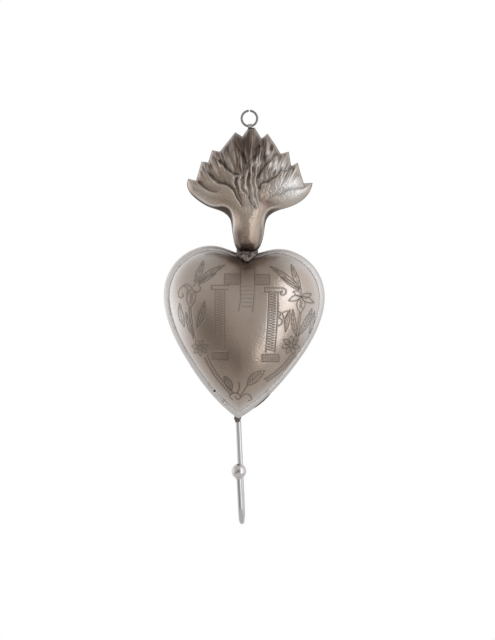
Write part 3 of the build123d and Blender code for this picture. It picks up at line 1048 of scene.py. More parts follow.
@dataclass
class Heart:
    """The puffed heart: engraved front, back half, seam, and the solder in its cleft."""

    shop: Workshop
    shape: HeartShape = field(default_factory=HeartShape)
    groove_half: float = 0.00021
    groove_depth: float = 0.0001
    groove_search: float = 0.0003
    line_step: float = 0.0003
    field_step: float = 0.00078
    cut_gap: float = 0.00011
    rim_step: float = 0.0006
    rim_gap: float = 0.0002
    rim_clear: float = 0.0003
    sheet: float = 0.0005
    dent: float = 0.00005
    dent_scale: float = 110
    dent_fade: float = 0.006
    rim_points: int = 720
    seam_points: int = 480
    bead_out: float = 0.00015
    bead_forward: float = 0.00025
    fold_run: tuple[int, int] = (203, 224)

    def build(self) -> None:
        """Builds and dresses the heart."""
        self.front()
        self.shop.dress("heart_back", self.shop.palette.plate)
        self.seam()
        self.neck()

    def front(self) -> None:
        """The engraved front half, its lines cut into the sheet."""
        shape = self.shape
        centres: list[np.ndarray] = []
        flanks: list[np.ndarray] = []
        runs: list[tuple[np.ndarray, np.ndarray, float]] = []
        for stroke in engraving():
            line = resample(shape.unroll(shape.drawn(stroke.line())), self.line_step)
            centres.append(line)
            ways = np.gradient(line, axis=0)
            ways /= np.maximum(np.hypot(*ways.T), 1e-12)[:, None]
            side = np.column_stack([-ways[:, 1], ways[:, 0]]) * self.groove_half
            flanks += [line + side, line - side]
            runs += [(a, b, stroke.strength) for a, b in zip(line[:-1], line[1:])]
        angle = np.linspace(-pi, pi, self.rim_points, endpoint=False)
        edge = shape.edge_run(angle)
        rim = np.column_stack([edge * np.sin(angle), edge * np.cos(angle)])
        boundary = even_loop(rim, self.rim_step, self.rim_gap)
        cut = thinned(np.concatenate(centres + flanks), self.cut_gap)
        cut = apart_from(cut, boundary, self.rim_clear)
        ground = hex_grid(boundary.min(axis=0), boundary.max(axis=0), self.field_step)
        inside = np.hypot(*ground.T) < shape.edge_run(np.arctan2(ground[:, 0], ground[:, 1])) - self.rim_clear
        ground = apart_from(ground[inside], np.concatenate([boundary, cut]), self.field_step * 0.45)
        flat = np.concatenate([boundary, cut, ground])
        faces = triangles_of(flat, len(boundary))
        depth, recess = self.grooves(flat, runs)
        upright = shape.raised(flat)
        normals = self.normals(upright, faces)
        dents = np.array([noise.noise(Vector((p[0], p[2], 0.3)) * self.dent_scale) for p in upright])
        to_seam = shape.edge_run(np.arctan2(flat[:, 0], flat[:, 1])) - np.hypot(*flat.T)
        fade = np.clip(to_seam / self.dent_fade, 0, 1)
        surface = shape.leaned(upright + normals * (dents * self.dent * fade - depth)[:, None])
        # The tone carries painted shade in the cleft besides aged tone; the rub carries painted highlights
        # besides wear.
        tone = self.tone_and_painted_shade(upright)
        rub = self.rubbing(upright, to_seam) * (1 - 0.8 * tone)
        inner, inner_faces = self.lining(upright[: len(boundary)], len(surface))
        corners = np.concatenate([surface, shape.leaned(inner)])
        spare = np.zeros(len(inner))
        piece = add_mesh(
            "engraved_heart_front",
            corners,
            [*faces.tolist(), *inner_faces],
            recess=np.concatenate([recess, spare]),
            tone=np.concatenate([tone, spare]),
            rub=np.concatenate([rub, spare]),
        )
        face_outwards(piece)
        self.shop.place(piece, self.shop.palette.heart, "ornament", "heart_front")

    def grooves(self, flat: np.ndarray, runs: list) -> tuple[np.ndarray, np.ndarray]:
        """How deep the engraving cuts, and how dark it lies, at each unrolled point.

        Args:
            flat: Unrolled points.
            runs: The strokes' short runs with their strengths.

        Returns:
            Depths and darknesses.
        """
        tree = tree_of([(start + end) / 2 for start, end, _ in runs])
        depth = np.zeros(len(flat))
        recess = np.zeros(len(flat))
        reach = self.line_step / 2 + self.groove_search
        for index, point in enumerate(flat):
            for _, found, _ in tree.find_range((point[0], point[1], 0), reach):
                start, end, strength = runs[found]
                run = end - start
                share = min(1.0, max(0.0, float((point - start) @ run / max(run @ run, 1e-16))))
                gap = float(np.hypot(*(point - start - share * run)))
                near = max(0.0, 1 - gap / self.groove_half)
                depth[index] = max(depth[index], near * self.groove_depth * strength)
                shade = max(0.0, 1 - gap / (self.groove_half * 1.25)) ** 0.8 * strength
                recess[index] = max(recess[index], shade)
        return depth, recess

    @staticmethod
    def normals(points: np.ndarray, faces: np.ndarray) -> np.ndarray:
        """Outward normal of a surface at each of its points."""
        a, b, c = (points[faces[:, side]] for side in range(3))
        face_normals = np.cross(b - a, c - a)
        total = np.zeros_like(points)
        for side in range(3):
            np.add.at(total, faces[:, side], face_normals)
        total /= np.maximum(np.linalg.norm(total, axis=1), 1e-15)[:, None]
        return total * np.where(total[:, 1].mean() > 0, -1, 1)

    def tone_and_painted_shade(self, upright: np.ndarray) -> np.ndarray:
        """How brown the front is: aged tone towards its tip, painted shade in its cleft under the flame and a
        painted dark reflection on its lower left.
        """
        # Spots of painted shade round the cleft, a painted dark reflection on the lower left, and browner tone
        # towards the tip.
        spots = (
            (0, 0, 0.019, 0.0078, 1.0),
            (0, -0.006, 0.008, 0.009, 0.95),
            (0, -0.016, 0.006, 0.010, 0.25),
            (-0.0165, -0.036, 0.010, 0.018, 0.22),
            (-0.002, -0.055, 0.0085, 0.010, 0.55),
        )
        x, _, z = upright.T
        tone = np.zeros(len(upright))
        for across, up, wide, tall, strength in spots:
            tone = np.maximum(tone, strength * soft_spot(x, z, (across, up), (wide, tall)))
        return tone

    def rubbing(self, upright: np.ndarray, to_seam: np.ndarray) -> np.ndarray:
        """How far the front is lightened: rubbed along its seam, which also stands in for the highlight there,
        and painted highlights in patches.
        """
        # Painted highlights on the flanks, the lobes and the rims beside the cleft.
        patches = (
            (0.0225, -0.0175, 0.0065, 0.007, 0.45),
            (-0.022, -0.0105, 0.014, 0.011, 0.22),
            (0.0145, -0.034, 0.007, 0.012, 0.38),
            (0.032, -0.033, 0.005, 0.012, 0.3),
            (-0.033, -0.033, 0.008, 0.012, 0.3),
            (-0.019, -0.001, 0.01, 0.004, 0.3),
            (0.0215, -0.002, 0.01, 0.004, 0.3),
            (0, -0.0225, 0.006, 0.008, 0.2),
        )
        x, _, z = upright.T
        left = soft_spot(x, z, (-0.034, -0.036), (0.016, 0.014))
        right = soft_spot(x, z, (0.026, -0.05), (0.012, 0.014))
        rub = 1.1 * np.exp(-to_seam / (0.0042 + 0.003 * left)) * (1 - 0.8 * right)
        for across, up, wide, tall, strength in patches:
            rub += strength * soft_spot(x, z, (across, up), (wide, tall))
        return np.clip(rub, 0, 1)

    def lining(self, rim: np.ndarray, first: int) -> tuple[np.ndarray, list]:
        """The front's inner side, from its rim to its crown.

        Args:
            rim: The outer rim, in order.
            first: Index that the lining's first corner gets.

        Returns:
            The lining's corners, and its faces together with those that join it to the rim.
        """
        centre = np.array([0, 0, -self.shape.centre_row * self.shape.square])
        inner = self.shape.half_width - self.shape.seam_inset
        shrink = (inner - self.sheet) / inner
        lift = self.shape.depth - self.shape.seam_depth - self.sheet
        shares = (1.0, 0.94, 0.8, 0.6, 0.35, 0.12)
        corners = []
        for share in shares:
            flat = centre + (rim - centre) * shrink * share
            height = lift * (1 - share**self.shape.roundness) ** self.shape.fullness
            flat[:, 1] = self.shape.wall_y - self.shape.seam_depth - height
            corners.append(flat)
        corners = np.concatenate(corners)
        count = len(rim)
        faces = []
        starts = [0] + [first + ring * count for ring in range(len(shares))]
        for low, high in zip(starts[:-1], starts[1:]):
            faces += ring_faces(low, high, count)
        faces.append(tuple(starts[-1] + index for index in range(count)))
        return corners, faces

    def seam(self) -> None:
        """The solder along the seam, laid by nodes."""
        shape = self.shape
        path = shape.seam(
            shape.seam_inset - self.bead_out, shape.seam_depth + self.bead_forward, self.seam_points
        )
        finish = self.shop.palette.seam
        bead = SeamBead(path, self.shop.material(finish))
        self.shop.place(bead.build(), finish, "ornament", "seam_solder")
        bright = path[round(len(path) * 0.5375)]
        dull = path[round(len(path) * 0.567)]
        lumps = (
            (tuple(bright + (-0.0006, 0.0002, -0.0006)), (0.0011, 0.0009, 0.0009)),
            (tuple(bright + (0.0005, 0.0003, -0.0012)), (0.0009, 0.0008, 0.0008)),
            (tuple(bright + (-0.0016, 0.0002, 0.0004)), (0.0008, 0.0007, 0.0007)),
            (tuple(bright + (0.0021, 0.0003, -0.0023)), (0.0008, 0.0007, 0.0008)),
            (tuple(dull), (0.0009, 0.0008, 0.0008)),
        )
        pits = (
            (*(bright + (0.0013, -0.0005, -0.0018)), 0.0007),
            (*(dull + (0.0001, -0.0007, 0)), 0.0009),
        )
        blob = SolderBlob("seam_lumps", lumps, voxel=0.00018, roughness=0.0002, pits=pits, seed=1.9)
        self.shop.place(blob.build(), finish, "ornament")
        self.fold()

    def fold(self) -> None:
        """The lip of the back plate's fold at the lower right, dark as painted shadow under its rolled edge."""
        rim = self.shape.seam(0.0001, self.shape.seam_depth / 2 + 0.0006, self.seam_points)
        run = rim[slice(*self.fold_run)]
        lumps = []
        for index, place in enumerate(run):
            ease = sin(pi * (index + 0.5) / len(run)) ** 0.5
            lumps.append((tuple(place), (0.00052 * ease, 0.00046, 0.0004 * ease)))
        # Its dark finish stands in for the shadow under the rolled edge.
        blob = SolderBlob("fold_lip_painted_shadow", tuple(lumps), voxel=0.00016, roughness=0.00006, seed=5.3)
        self.shop.place(blob.build(), self.shop.palette.collar, "ornament")

    def neck(self) -> None:
        """The lump of solder in the cleft, with its tongue on the dome and the pit in it."""
        left, low = self.shape.cleft
        wall = self.shape.wall_y
        lumps = (
            ((left, wall - 0.0048, low + 0.0002), (0.0048, 0.0038, 0.0025)),
            ((left - 0.0027, wall - 0.0070, low + 0.0002), (0.0024, 0.0022, 0.0018)),
            ((left + 0.0029, wall - 0.0070, low + 0.0003), (0.0023, 0.0022, 0.0018)),
            ((left - 0.0009, wall - 0.0084, low - 0.0007), (0.0028, 0.0022, 0.0017)),
            ((left + 0.0012, wall - 0.0086, low - 0.0008), (0.0024, 0.0022, 0.0016)),
            ((left + 0.0003, wall - 0.0098, low - 0.0019), (0.0020, 0.0018, 0.0014)),
        )
        pits = (
            (left + 0.0014, wall - 0.0106, low - 0.0001, 0.0009),
            (left - 0.0024, wall - 0.0092, low + 0.0008, 0.0007),
        )
        blob = SolderBlob("cleft_solder", lumps, voxel=0.00026, roughness=0.0003, pits=pits)
        self.shop.place(blob.build(), self.shop.palette.solder, "ornament", "neck_solder")


@dataclass
class SolderBlob:
    """A rough lump of solder, melted together from rounded lumps."""

    name: str
    lumps: tuple
    voxel: float = 0.0003
    roughness: float = 0.0002
    pits: tuple = ()
    seed: float = 3.7
    bump_scale: float = 700
    grain_scale: float = 2200

    def build(self) -> bpy.types.Object:
        """Makes the lump.

        Returns:
            The piece, with its pits and folds marked as recesses.
        """
        work = bmesh.new()
        for middle, half in self.lumps:
            made = bmesh.ops.create_icosphere(work, subdivisions=3, radius=1.0)
            matrix = Matrix.Translation(middle) @ Matrix.Diagonal((*half, 1))
            bmesh.ops.transform(work, matrix=matrix, verts=made["verts"])
        mesh = bpy.data.meshes.new(self.name)
        work.to_mesh(mesh)
        work.free()
        piece = add_object(self.name, mesh)
        remesh = piece.modifiers.new("melt", "REMESH")
        remesh.mode = "VOXEL"
        remesh.voxel_size = self.voxel
        soften = piece.modifiers.new("soften", "SMOOTH")
        soften.factor = 0.5
        soften.iterations = 8
        solid = shaped_mesh(piece)
        piece.modifiers.clear()
        piece.data = solid
        solid.update()
        recess = np.zeros(len(solid.vertices))
        for vertex in solid.vertices:
            place = vertex.co.copy()
            bumps = noise.noise(place * self.bump_scale + Vector((self.seed, 0, 0)))
            grain = noise.noise(place * self.grain_scale + Vector((0, self.seed, 0)))
            move = self.roughness * (bumps + 0.4 * grain)
            shade = max(0.0, -0.9 * bumps - 0.12)
            for x, y, z, radius in self.pits:
                near = max(0.0, 1 - (place - Vector((x, y, z))).length / radius)
                move -= near**0.7 * radius * 0.55
                shade = max(shade, min(1.0, near * 3.2))
            vertex.co = place + vertex.normal * move
            recess[vertex.index] = min(1.0, shade)
        mark_points(solid, "recess", recess)
        return piece


@dataclass
class SeamBead:
    """Solder that follows the heart's seam: a rough bead with drops on it."""

    path: np.ndarray
    finish: bpy.types.Material
    radius: float = 0.0005
    drops: int = 90
    drop_radius: float = 0.0004
    seed: int = 7

    def guide(self) -> bpy.types.Object:
        """The seam as a closed line."""
        curve = bpy.data.curves.new("seam_bead", "CURVE")
        curve.dimensions = "3D"
        spline = curve.splines.new("POLY")
        spline.points.add(len(self.path) - 1)
        for point, place in zip(spline.points, self.path):
            point.co = (*place, 1)
        spline.use_cyclic_u = True
        return add_object("seam_bead_line", curve)

    def tree(self) -> bpy.types.NodeTree:
        """The nodes that lay the bead and its drops.

        Returns:
            A tree with inputs for the line, the bead's radius, the drops' number and radius, the seed
            and the finish.
        """
        tree = bpy.data.node_groups.new("seam_bead", "GeometryNodeTree")
        wanted = (
            ("Line", "Geometry"), ("Bead radius", "Float"), ("Drops", "Int"),
            ("Drop radius", "Float"), ("Seed", "Int"), ("Finish", "Material"),
        )
        for name, kind in wanted:
            tree.interface.new_socket(name, in_out="INPUT", socket_type=f"NodeSocket{kind}")
        tree.interface.new_socket("Bead", in_out="OUTPUT", socket_type="NodeSocketGeometry")
        wire = Wiring(tree)
        start = wire.add("NodeGroupInput").outputs
        ring = wire.add(
            "GeometryNodeCurvePrimitiveCircle", mode="RADIUS", Resolution=8, Radius=start["Bead radius"]
        )
        place = wire.add("GeometryNodeInputPosition").outputs[0]
        swell = wire.math("MULTIPLY_ADD", wire.noise(place, 420.0, 3.0), 0.8, 0.6)
        bead = wire.add(
            "GeometryNodeCurveToMesh", Curve=start["Line"], Profile_Curve=ring.outputs[0], Scale=swell
        )
        spots = wire.add("GeometryNodeCurveToPoints", mode="COUNT", Curve=start["Line"], Count=start["Drops"])
        ball = wire.add("GeometryNodeMeshIcoSphere", Subdivisions=2, Radius=start["Drop radius"])
        size = wire.add("FunctionNodeRandomValue", data_type="FLOAT", in2=0.35, in3=1.25, Seed=start["Seed"])
        drops = wire.add(
            "GeometryNodeInstanceOnPoints",
            Points=spots.outputs[0], Instance=ball.outputs[0], Scale=size.outputs[1],
        )
        both = wire.add("GeometryNodeJoinGeometry", in0=bead.outputs[0])
        wire.tree.links.new(drops.outputs[0], both.inputs[0])
        real = wire.add("GeometryNodeRealizeInstances", in0=both.outputs[0])
        dressed = wire.add("GeometryNodeSetMaterial", Geometry=real.outputs[0], Material=start["Finish"])
        wire.add("NodeGroupOutput", in0=dressed.outputs[0])
        return tree

    def build(self) -> bpy.types.Object:
        """Makes the bead a plain mesh."""
        line = self.guide()
        modifier = line.modifiers.new("bead", "NODES")
        modifier.node_group = self.tree()
        values = {
            "Bead radius": self.radius, "Drops": self.drops, "Drop radius": self.drop_radius,
            "Seed": self.seed, "Finish": self.finish,
        }
        for item in modifier.node_group.interface.items_tree:
            if item.name in values:
                modifier[item.identifier] = values[item.name]
        mesh = shaped_mesh(line)
        mesh.name = "seam_bead"
        bpy.data.objects.remove(line)
        return add_object("seam_bead", mesh)


# Flame


@dataclass(frozen=True)
class Crease:
    """A line pressed into the beaten flame, or raised out of it where its depth is below zero."""

    points: Line
    depth: float
    width: float
    dark: float = 0.8
    start: float = 1.0
    end: float = 0.4
    behind: Pair = (0, 0)


@dataclass
class Flame:
    """The beaten flame of nine leaves on a round stem, with its flat back sheet."""

    shop: Workshop
    square: float = 0.0005
    top: float = 0.0
    face: float = 0.0
    edge_height: float = 0.0013
    leaf_height: float = 0.0056
    stem_height: float = 0.010
    edge_round: float = 0.0023
    core: Pair = (-2, 88)
    core_width: float = 24.0
    core_rise: float = 44.0
    step: float = 0.00036
    sweep_points: int = 260
    leaf_step: float = 0.8
    rim_step: float = 0.7
    rim_gap: float = 0.15
    rim_inset: float = 0.35
    inset_clear: float = 0.25
    rim_clear: float = 0.4
    right_leaves: Line = (
        (5.5, 0), (12, 10.5), (18, 5.5), (25, 15.5), (31, 25.5), (39, 23.5), (40.5, 33),
        (41.5, 38), (48, 34.5), (50.5, 44), (54, 55), (62.5, 54.5),
    )
    sweep: Line = (
        (62.5, 54.5), (60.5, 61.5), (50.5, 72.5), (39, 78), (25.5, 82.5), (17.5, 89), (14.5, 101), (12, 113),
        (8.5, 120), (-2.5, 123.5), (-12, 120), (-15, 112), (-17, 100), (-19, 90), (-26, 83), (-39.5, 78),
        (-52, 70.5), (-60, 62), (-62, 54),
    )
    left_leaves: Line = (
        (-62, 54), (-61, 50.5), (-53, 52.5), (-47.5, 33.5), (-44, 33.5), (-41, 34.5), (-37, 22),
        (-33.5, 22.7), (-29.5, 23.5), (-14, 4), (-7, 8.5), (-1, 0),
    )

    def build(self) -> None:
        """Builds and dresses the flame."""
        low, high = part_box("flame_front")
        self.top, self.face = high.z, high.y
        self.front()
        self.shop.dress("flame_back", self.shop.palette.edge)

    def creases(self) -> list[Crease]:
        """The valleys between the leaves, the strands of the stem and the veins, in squares."""
        deep, middle, fine = 0.0018, 0.0012, 0.0005
        left, right = (0.9, -1.7), (-0.9, -1.7)
        low_left = ((-53, 52.5), (-47.3, 55.9), (-43.2, 59.6), (-39.6, 61.8), (-32.3, 63.6))
        mid_left = (
            (-43.4, 39), (-40.5, 44.6), (-37.8, 48.3), (-33.7, 51.4), (-29.6, 54.1), (-24.2, 55),
            (-20.1, 57.7), (-16.1, 61.8), (-12.4, 67.2), (-9.3, 72.7), (-6.1, 78.5),
        )
        high_left = ((-34.1, 30.2), (-28.7, 33.3), (-24.2, 37.4), (-20.1, 41.5), (-16.1, 44.6), (-11.5, 46))
        return [
            Crease(low_left, deep, 1.5, 1, 1, 0.5, left),
            Crease(mid_left, deep, 1.5, 1, 0.9, 0.8, left),
            Crease(high_left, deep, 1.5, 1, 0.8, 0.8, left),
            Crease(((-33.2, 23.8), (-31, 26.5), (-28.7, 29.3)), middle, 1.2, 0.8, 0.9, 0.4, left),
            Crease(((-41, 35), (-42.6, 37), (-43.4, 39)), middle, 1.3, 0.8, 0.8, 0.9, left),
            Crease(
                ((-13.4, 15.7), (-10.6, 21.1), (-7, 26.6), (-4.8, 31.1), (-2.1, 36.5)),
                deep, 1.3, 0.9, 0.5, 0.9,
            ),
            Crease(((-7, 8.5), (-10.5, 11.5), (-13.4, 15.7)), fine, 1.3, 0.4),
            Crease(
                ((12.4, 17.1), (8.3, 18), (7, 21.1), (6.1, 26.6), (2.9, 31.1), (-1.1, 35.1)),
                middle, 1.3, 0.9,
            ),
            Crease(((12, 10.5), (12.8, 14), (12.4, 17.1)), middle, 1.3, 0.7, 0.7, 0.9),
            Crease(
                ((26.4, 27), (21.9, 30.2), (19.2, 33.3), (15.6, 37.4), (11.1, 41.5), (8.8, 45.5), (8.8, 49.2)),
                deep, 1.3, 0.9, 0.7, 0.8, right,
            ),
            Crease(((31, 25.5), (28.6, 26), (26.4, 27)), middle, 1.2, 0.7, 0.9, 0.7),
            Crease(
                ((29.1, 41.9), (26.4, 47.3), (21.9, 51), (15.6, 53.7), (11.1, 56.4), (9.2, 60)),
                deep, 1.3, 0.95, 0.7, 0.8, right,
            ),
            Crease(((41.5, 38), (40, 41.5), (35.5, 42.4), (29.1, 41.9)), middle, 1.3, 0.7, 1, 0.6, right),
            Crease(
                ((54.4, 58.2), (44.5, 60), (37.3, 62.7), (30, 65.9), (24.6, 67.2), (17.4, 68.6)),
                middle, 1.3, 0.6, 0.9, 0.5, right,
            ),
            Crease(((-3, 66.3), (-0.7, 70.9), (2, 75.4), (3.8, 80.3)), middle, 1.2, 1, 0.7, 0.8),
            Crease(((-0.7, 44.6), (-1.2, 54.6), (-2, 63.6), (0, 71)), deep, 1.7, 0.8, 0.7, 0.8),
            Crease(((8, 46), (8.3, 54.6), (9.2, 63.6), (9.8, 73)), deep, 1.4, 0.8, 0.8, 0.5),
            Crease(((-12.4, 49.2), (-12.4, 56.4), (-10.4, 65), (-7, 73)), deep, 1.2, 0.75, 0.9, 0.6),
            Crease(((-7.4, 48.2), (-6.8, 58.2), (-4.3, 66.3)), middle, 1.1, 0.7, 0.9, 0.8),
            Crease(((3.6, 48), (4.6, 58), (6.0, 68), (7, 76)), middle, 1.0, 0.6, 0.9, 0.5),
            Crease(((-15.0, 47.5), (-15.4, 53), (-16.6, 59)), -0.0010, 1.5, 0, 1, 0.8),
            Crease(((-10.0, 47), (-9.6, 56), (-7.4, 64.5)), -0.0009, 1.4, 0, 1, 0.8),
            Crease(((-4.4, 45.5), (-4.2, 55), (-1.4, 68), (2.6, 79), (4, 87)), -0.0009, 1.4, 0, 0.9, 1),
            Crease(((1.4, 46), (2.2, 58), (4.0, 70), (6.4, 80)), -0.0008, 1.5, 0, 0.9, 0.7),
            Crease(((6.4, 47), (7, 58), (8, 70), (9.4, 80)), -0.0007, 1.4, 0, 0.9, 0.7),
            Crease(((12, 22), (9, 29), (3.4, 37), (-1, 44)), -0.0010, 1.5, 0, 0.7, 1),
            Crease(((21.5, 27.4), (15, 31.6), (9.4, 37), (5, 44)), -0.0009, 1.4, 0, 0.8, 0.9),
            Crease(((-18.6, 14), (-22.4, 20), (-24.6, 28)), fine, 1.0, 0.5, 0.6, 0.9),
            Crease(((-16.5, 18), (-18.6, 26), (-19.6, 35)), fine, 1.0, 0.5, 0.6, 0.9),
            Crease(((-11.6, 27), (-13.6, 34), (-13, 42)), fine, 1.0, 0.5, 0.6, 0.9),
            Crease(((-27, 22), (-29.4, 26), (-27.6, 31)), fine, 1.0, 0.4, 0.6, 0.9),
            Crease(((-1, 12), (-2, 20), (-0.5, 28)), fine, 1.3, 0.45, 0.6, 0.8),
            Crease(((5, 9), (4.4, 17), (3, 26)), fine, 1.2, 0.4, 0.6, 0.8),
            Crease(((17.6, 11), (16.4, 19), (15, 26)), fine, 1.0, 0.5, 0.6, 0.8),
            Crease(((21.6, 14), (22.2, 20), (20.6, 26)), fine, 1.0, 0.5, 0.6, 0.8),
            Crease(((36, 27), (33, 33), (30, 40.5)), fine, 1.1, 0.5, 0.7, 0.9),
            Crease(((38.6, 30), (36, 35), (33.6, 40)), fine, 1.0, 0.4, 0.7, 0.8),
            Crease(((27.6, 36), (21, 41), (13.6, 47)), fine, 1.0, 0.5, 0.6, 0.8),
            Crease(((25, 43), (18.6, 47.4), (12, 52)), fine, 1.0, 0.4, 0.6, 0.8),
            Crease(((-46, 38), (-46.6, 46), (-42, 53)), fine, 1.4, 0.35, 0.6, 0.9),
        ]

    def outline(self) -> np.ndarray:
        """The flame's outline in squares, closed: straight along the leaves, smooth round the stem."""
        corners = np.array(self.sweep, float)
        sweep = cubic_through(corners, chord_knots(corners), np.linspace(0, 1, self.sweep_points))
        bridge = (self.left_leaves[-1], self.right_leaves[0])
        right, left, top = (
            resample(np.array(line, float), self.leaf_step)
            for line in (self.right_leaves, self.left_leaves, bridge)
        )
        return np.concatenate([right[:-1], sweep[:-1], left[:-1], top[:-1]])

    def front(self) -> None:
        """The beaten front sheet as one fine skin over its turned-down edge."""
        boundary = even_loop(self.outline(), self.rim_step, self.rim_gap)
        closed = np.concatenate([boundary, boundary[:1]])
        ground = hex_grid(boundary.min(axis=0), boundary.max(axis=0), self.step / self.square)
        ground = ground[self.within(ground, closed)]
        edge, _ = distance_to_line(ground, closed)
        ground = ground[edge > self.rim_clear]
        near = self.inset_ring(boundary, self.rim_inset)
        near = apart_from(near[self.within(near, closed)], boundary, self.inset_clear)
        ground = apart_from(ground, np.concatenate([boundary, near]), self.rim_clear)
        points = np.concatenate([boundary, near, ground])
        faces = triangles_of(points, len(boundary))
        edge, _ = distance_to_line(points, closed)
        edge[: len(boundary)] = 0
        height, marks = Relief(self, points, edge).worked()
        x = points[:, 0] * self.square
        z = self.top - points[:, 1] * self.square
        skin = np.column_stack([x, self.face - height, z])
        count = len(boundary)
        foot = np.column_stack([x[:count], np.full(count, self.face), z[:count]])
        wall = ring_faces(0, len(skin), count)
        floor = triangles_of(boundary, count) + len(skin)
        piece = add_mesh(
            "beaten_flame_front",
            np.concatenate([skin, foot]),
            [*faces.tolist(), *wall, *floor.tolist()],
            **{name: np.concatenate([mark, mark[:count]]) for name, mark in marks.items()},
        )
        face_outwards(piece)
        self.shop.place(piece, self.shop.palette.flame, "ornament", "flame_front")

    @staticmethod
    def within(points: np.ndarray, closed: np.ndarray) -> np.ndarray:
        """Whether each point lies inside a closed outline."""
        inside = np.zeros(len(points), bool)
        for (ax, ay), (bx, by) in zip(closed[:-1], closed[1:]):
            crosses = (ay > points[:, 1]) != (by > points[:, 1])
            if ay != by:
                at = ax + (points[:, 1] - ay) / (by - ay) * (bx - ax)
                inside ^= crosses & (points[:, 0] < at)
        return inside

    @staticmethod
    def inset_ring(boundary: np.ndarray, inset: float) -> np.ndarray:
        """Points just inside an outline, one for each of its corners."""
        ways = np.roll(boundary, -1, axis=0) - np.roll(boundary, 1, axis=0)
        ways /= np.maximum(np.hypot(*ways.T), 1e-9)[:, None]
        return boundary + np.column_stack([-ways[:, 1], ways[:, 0]]) * inset


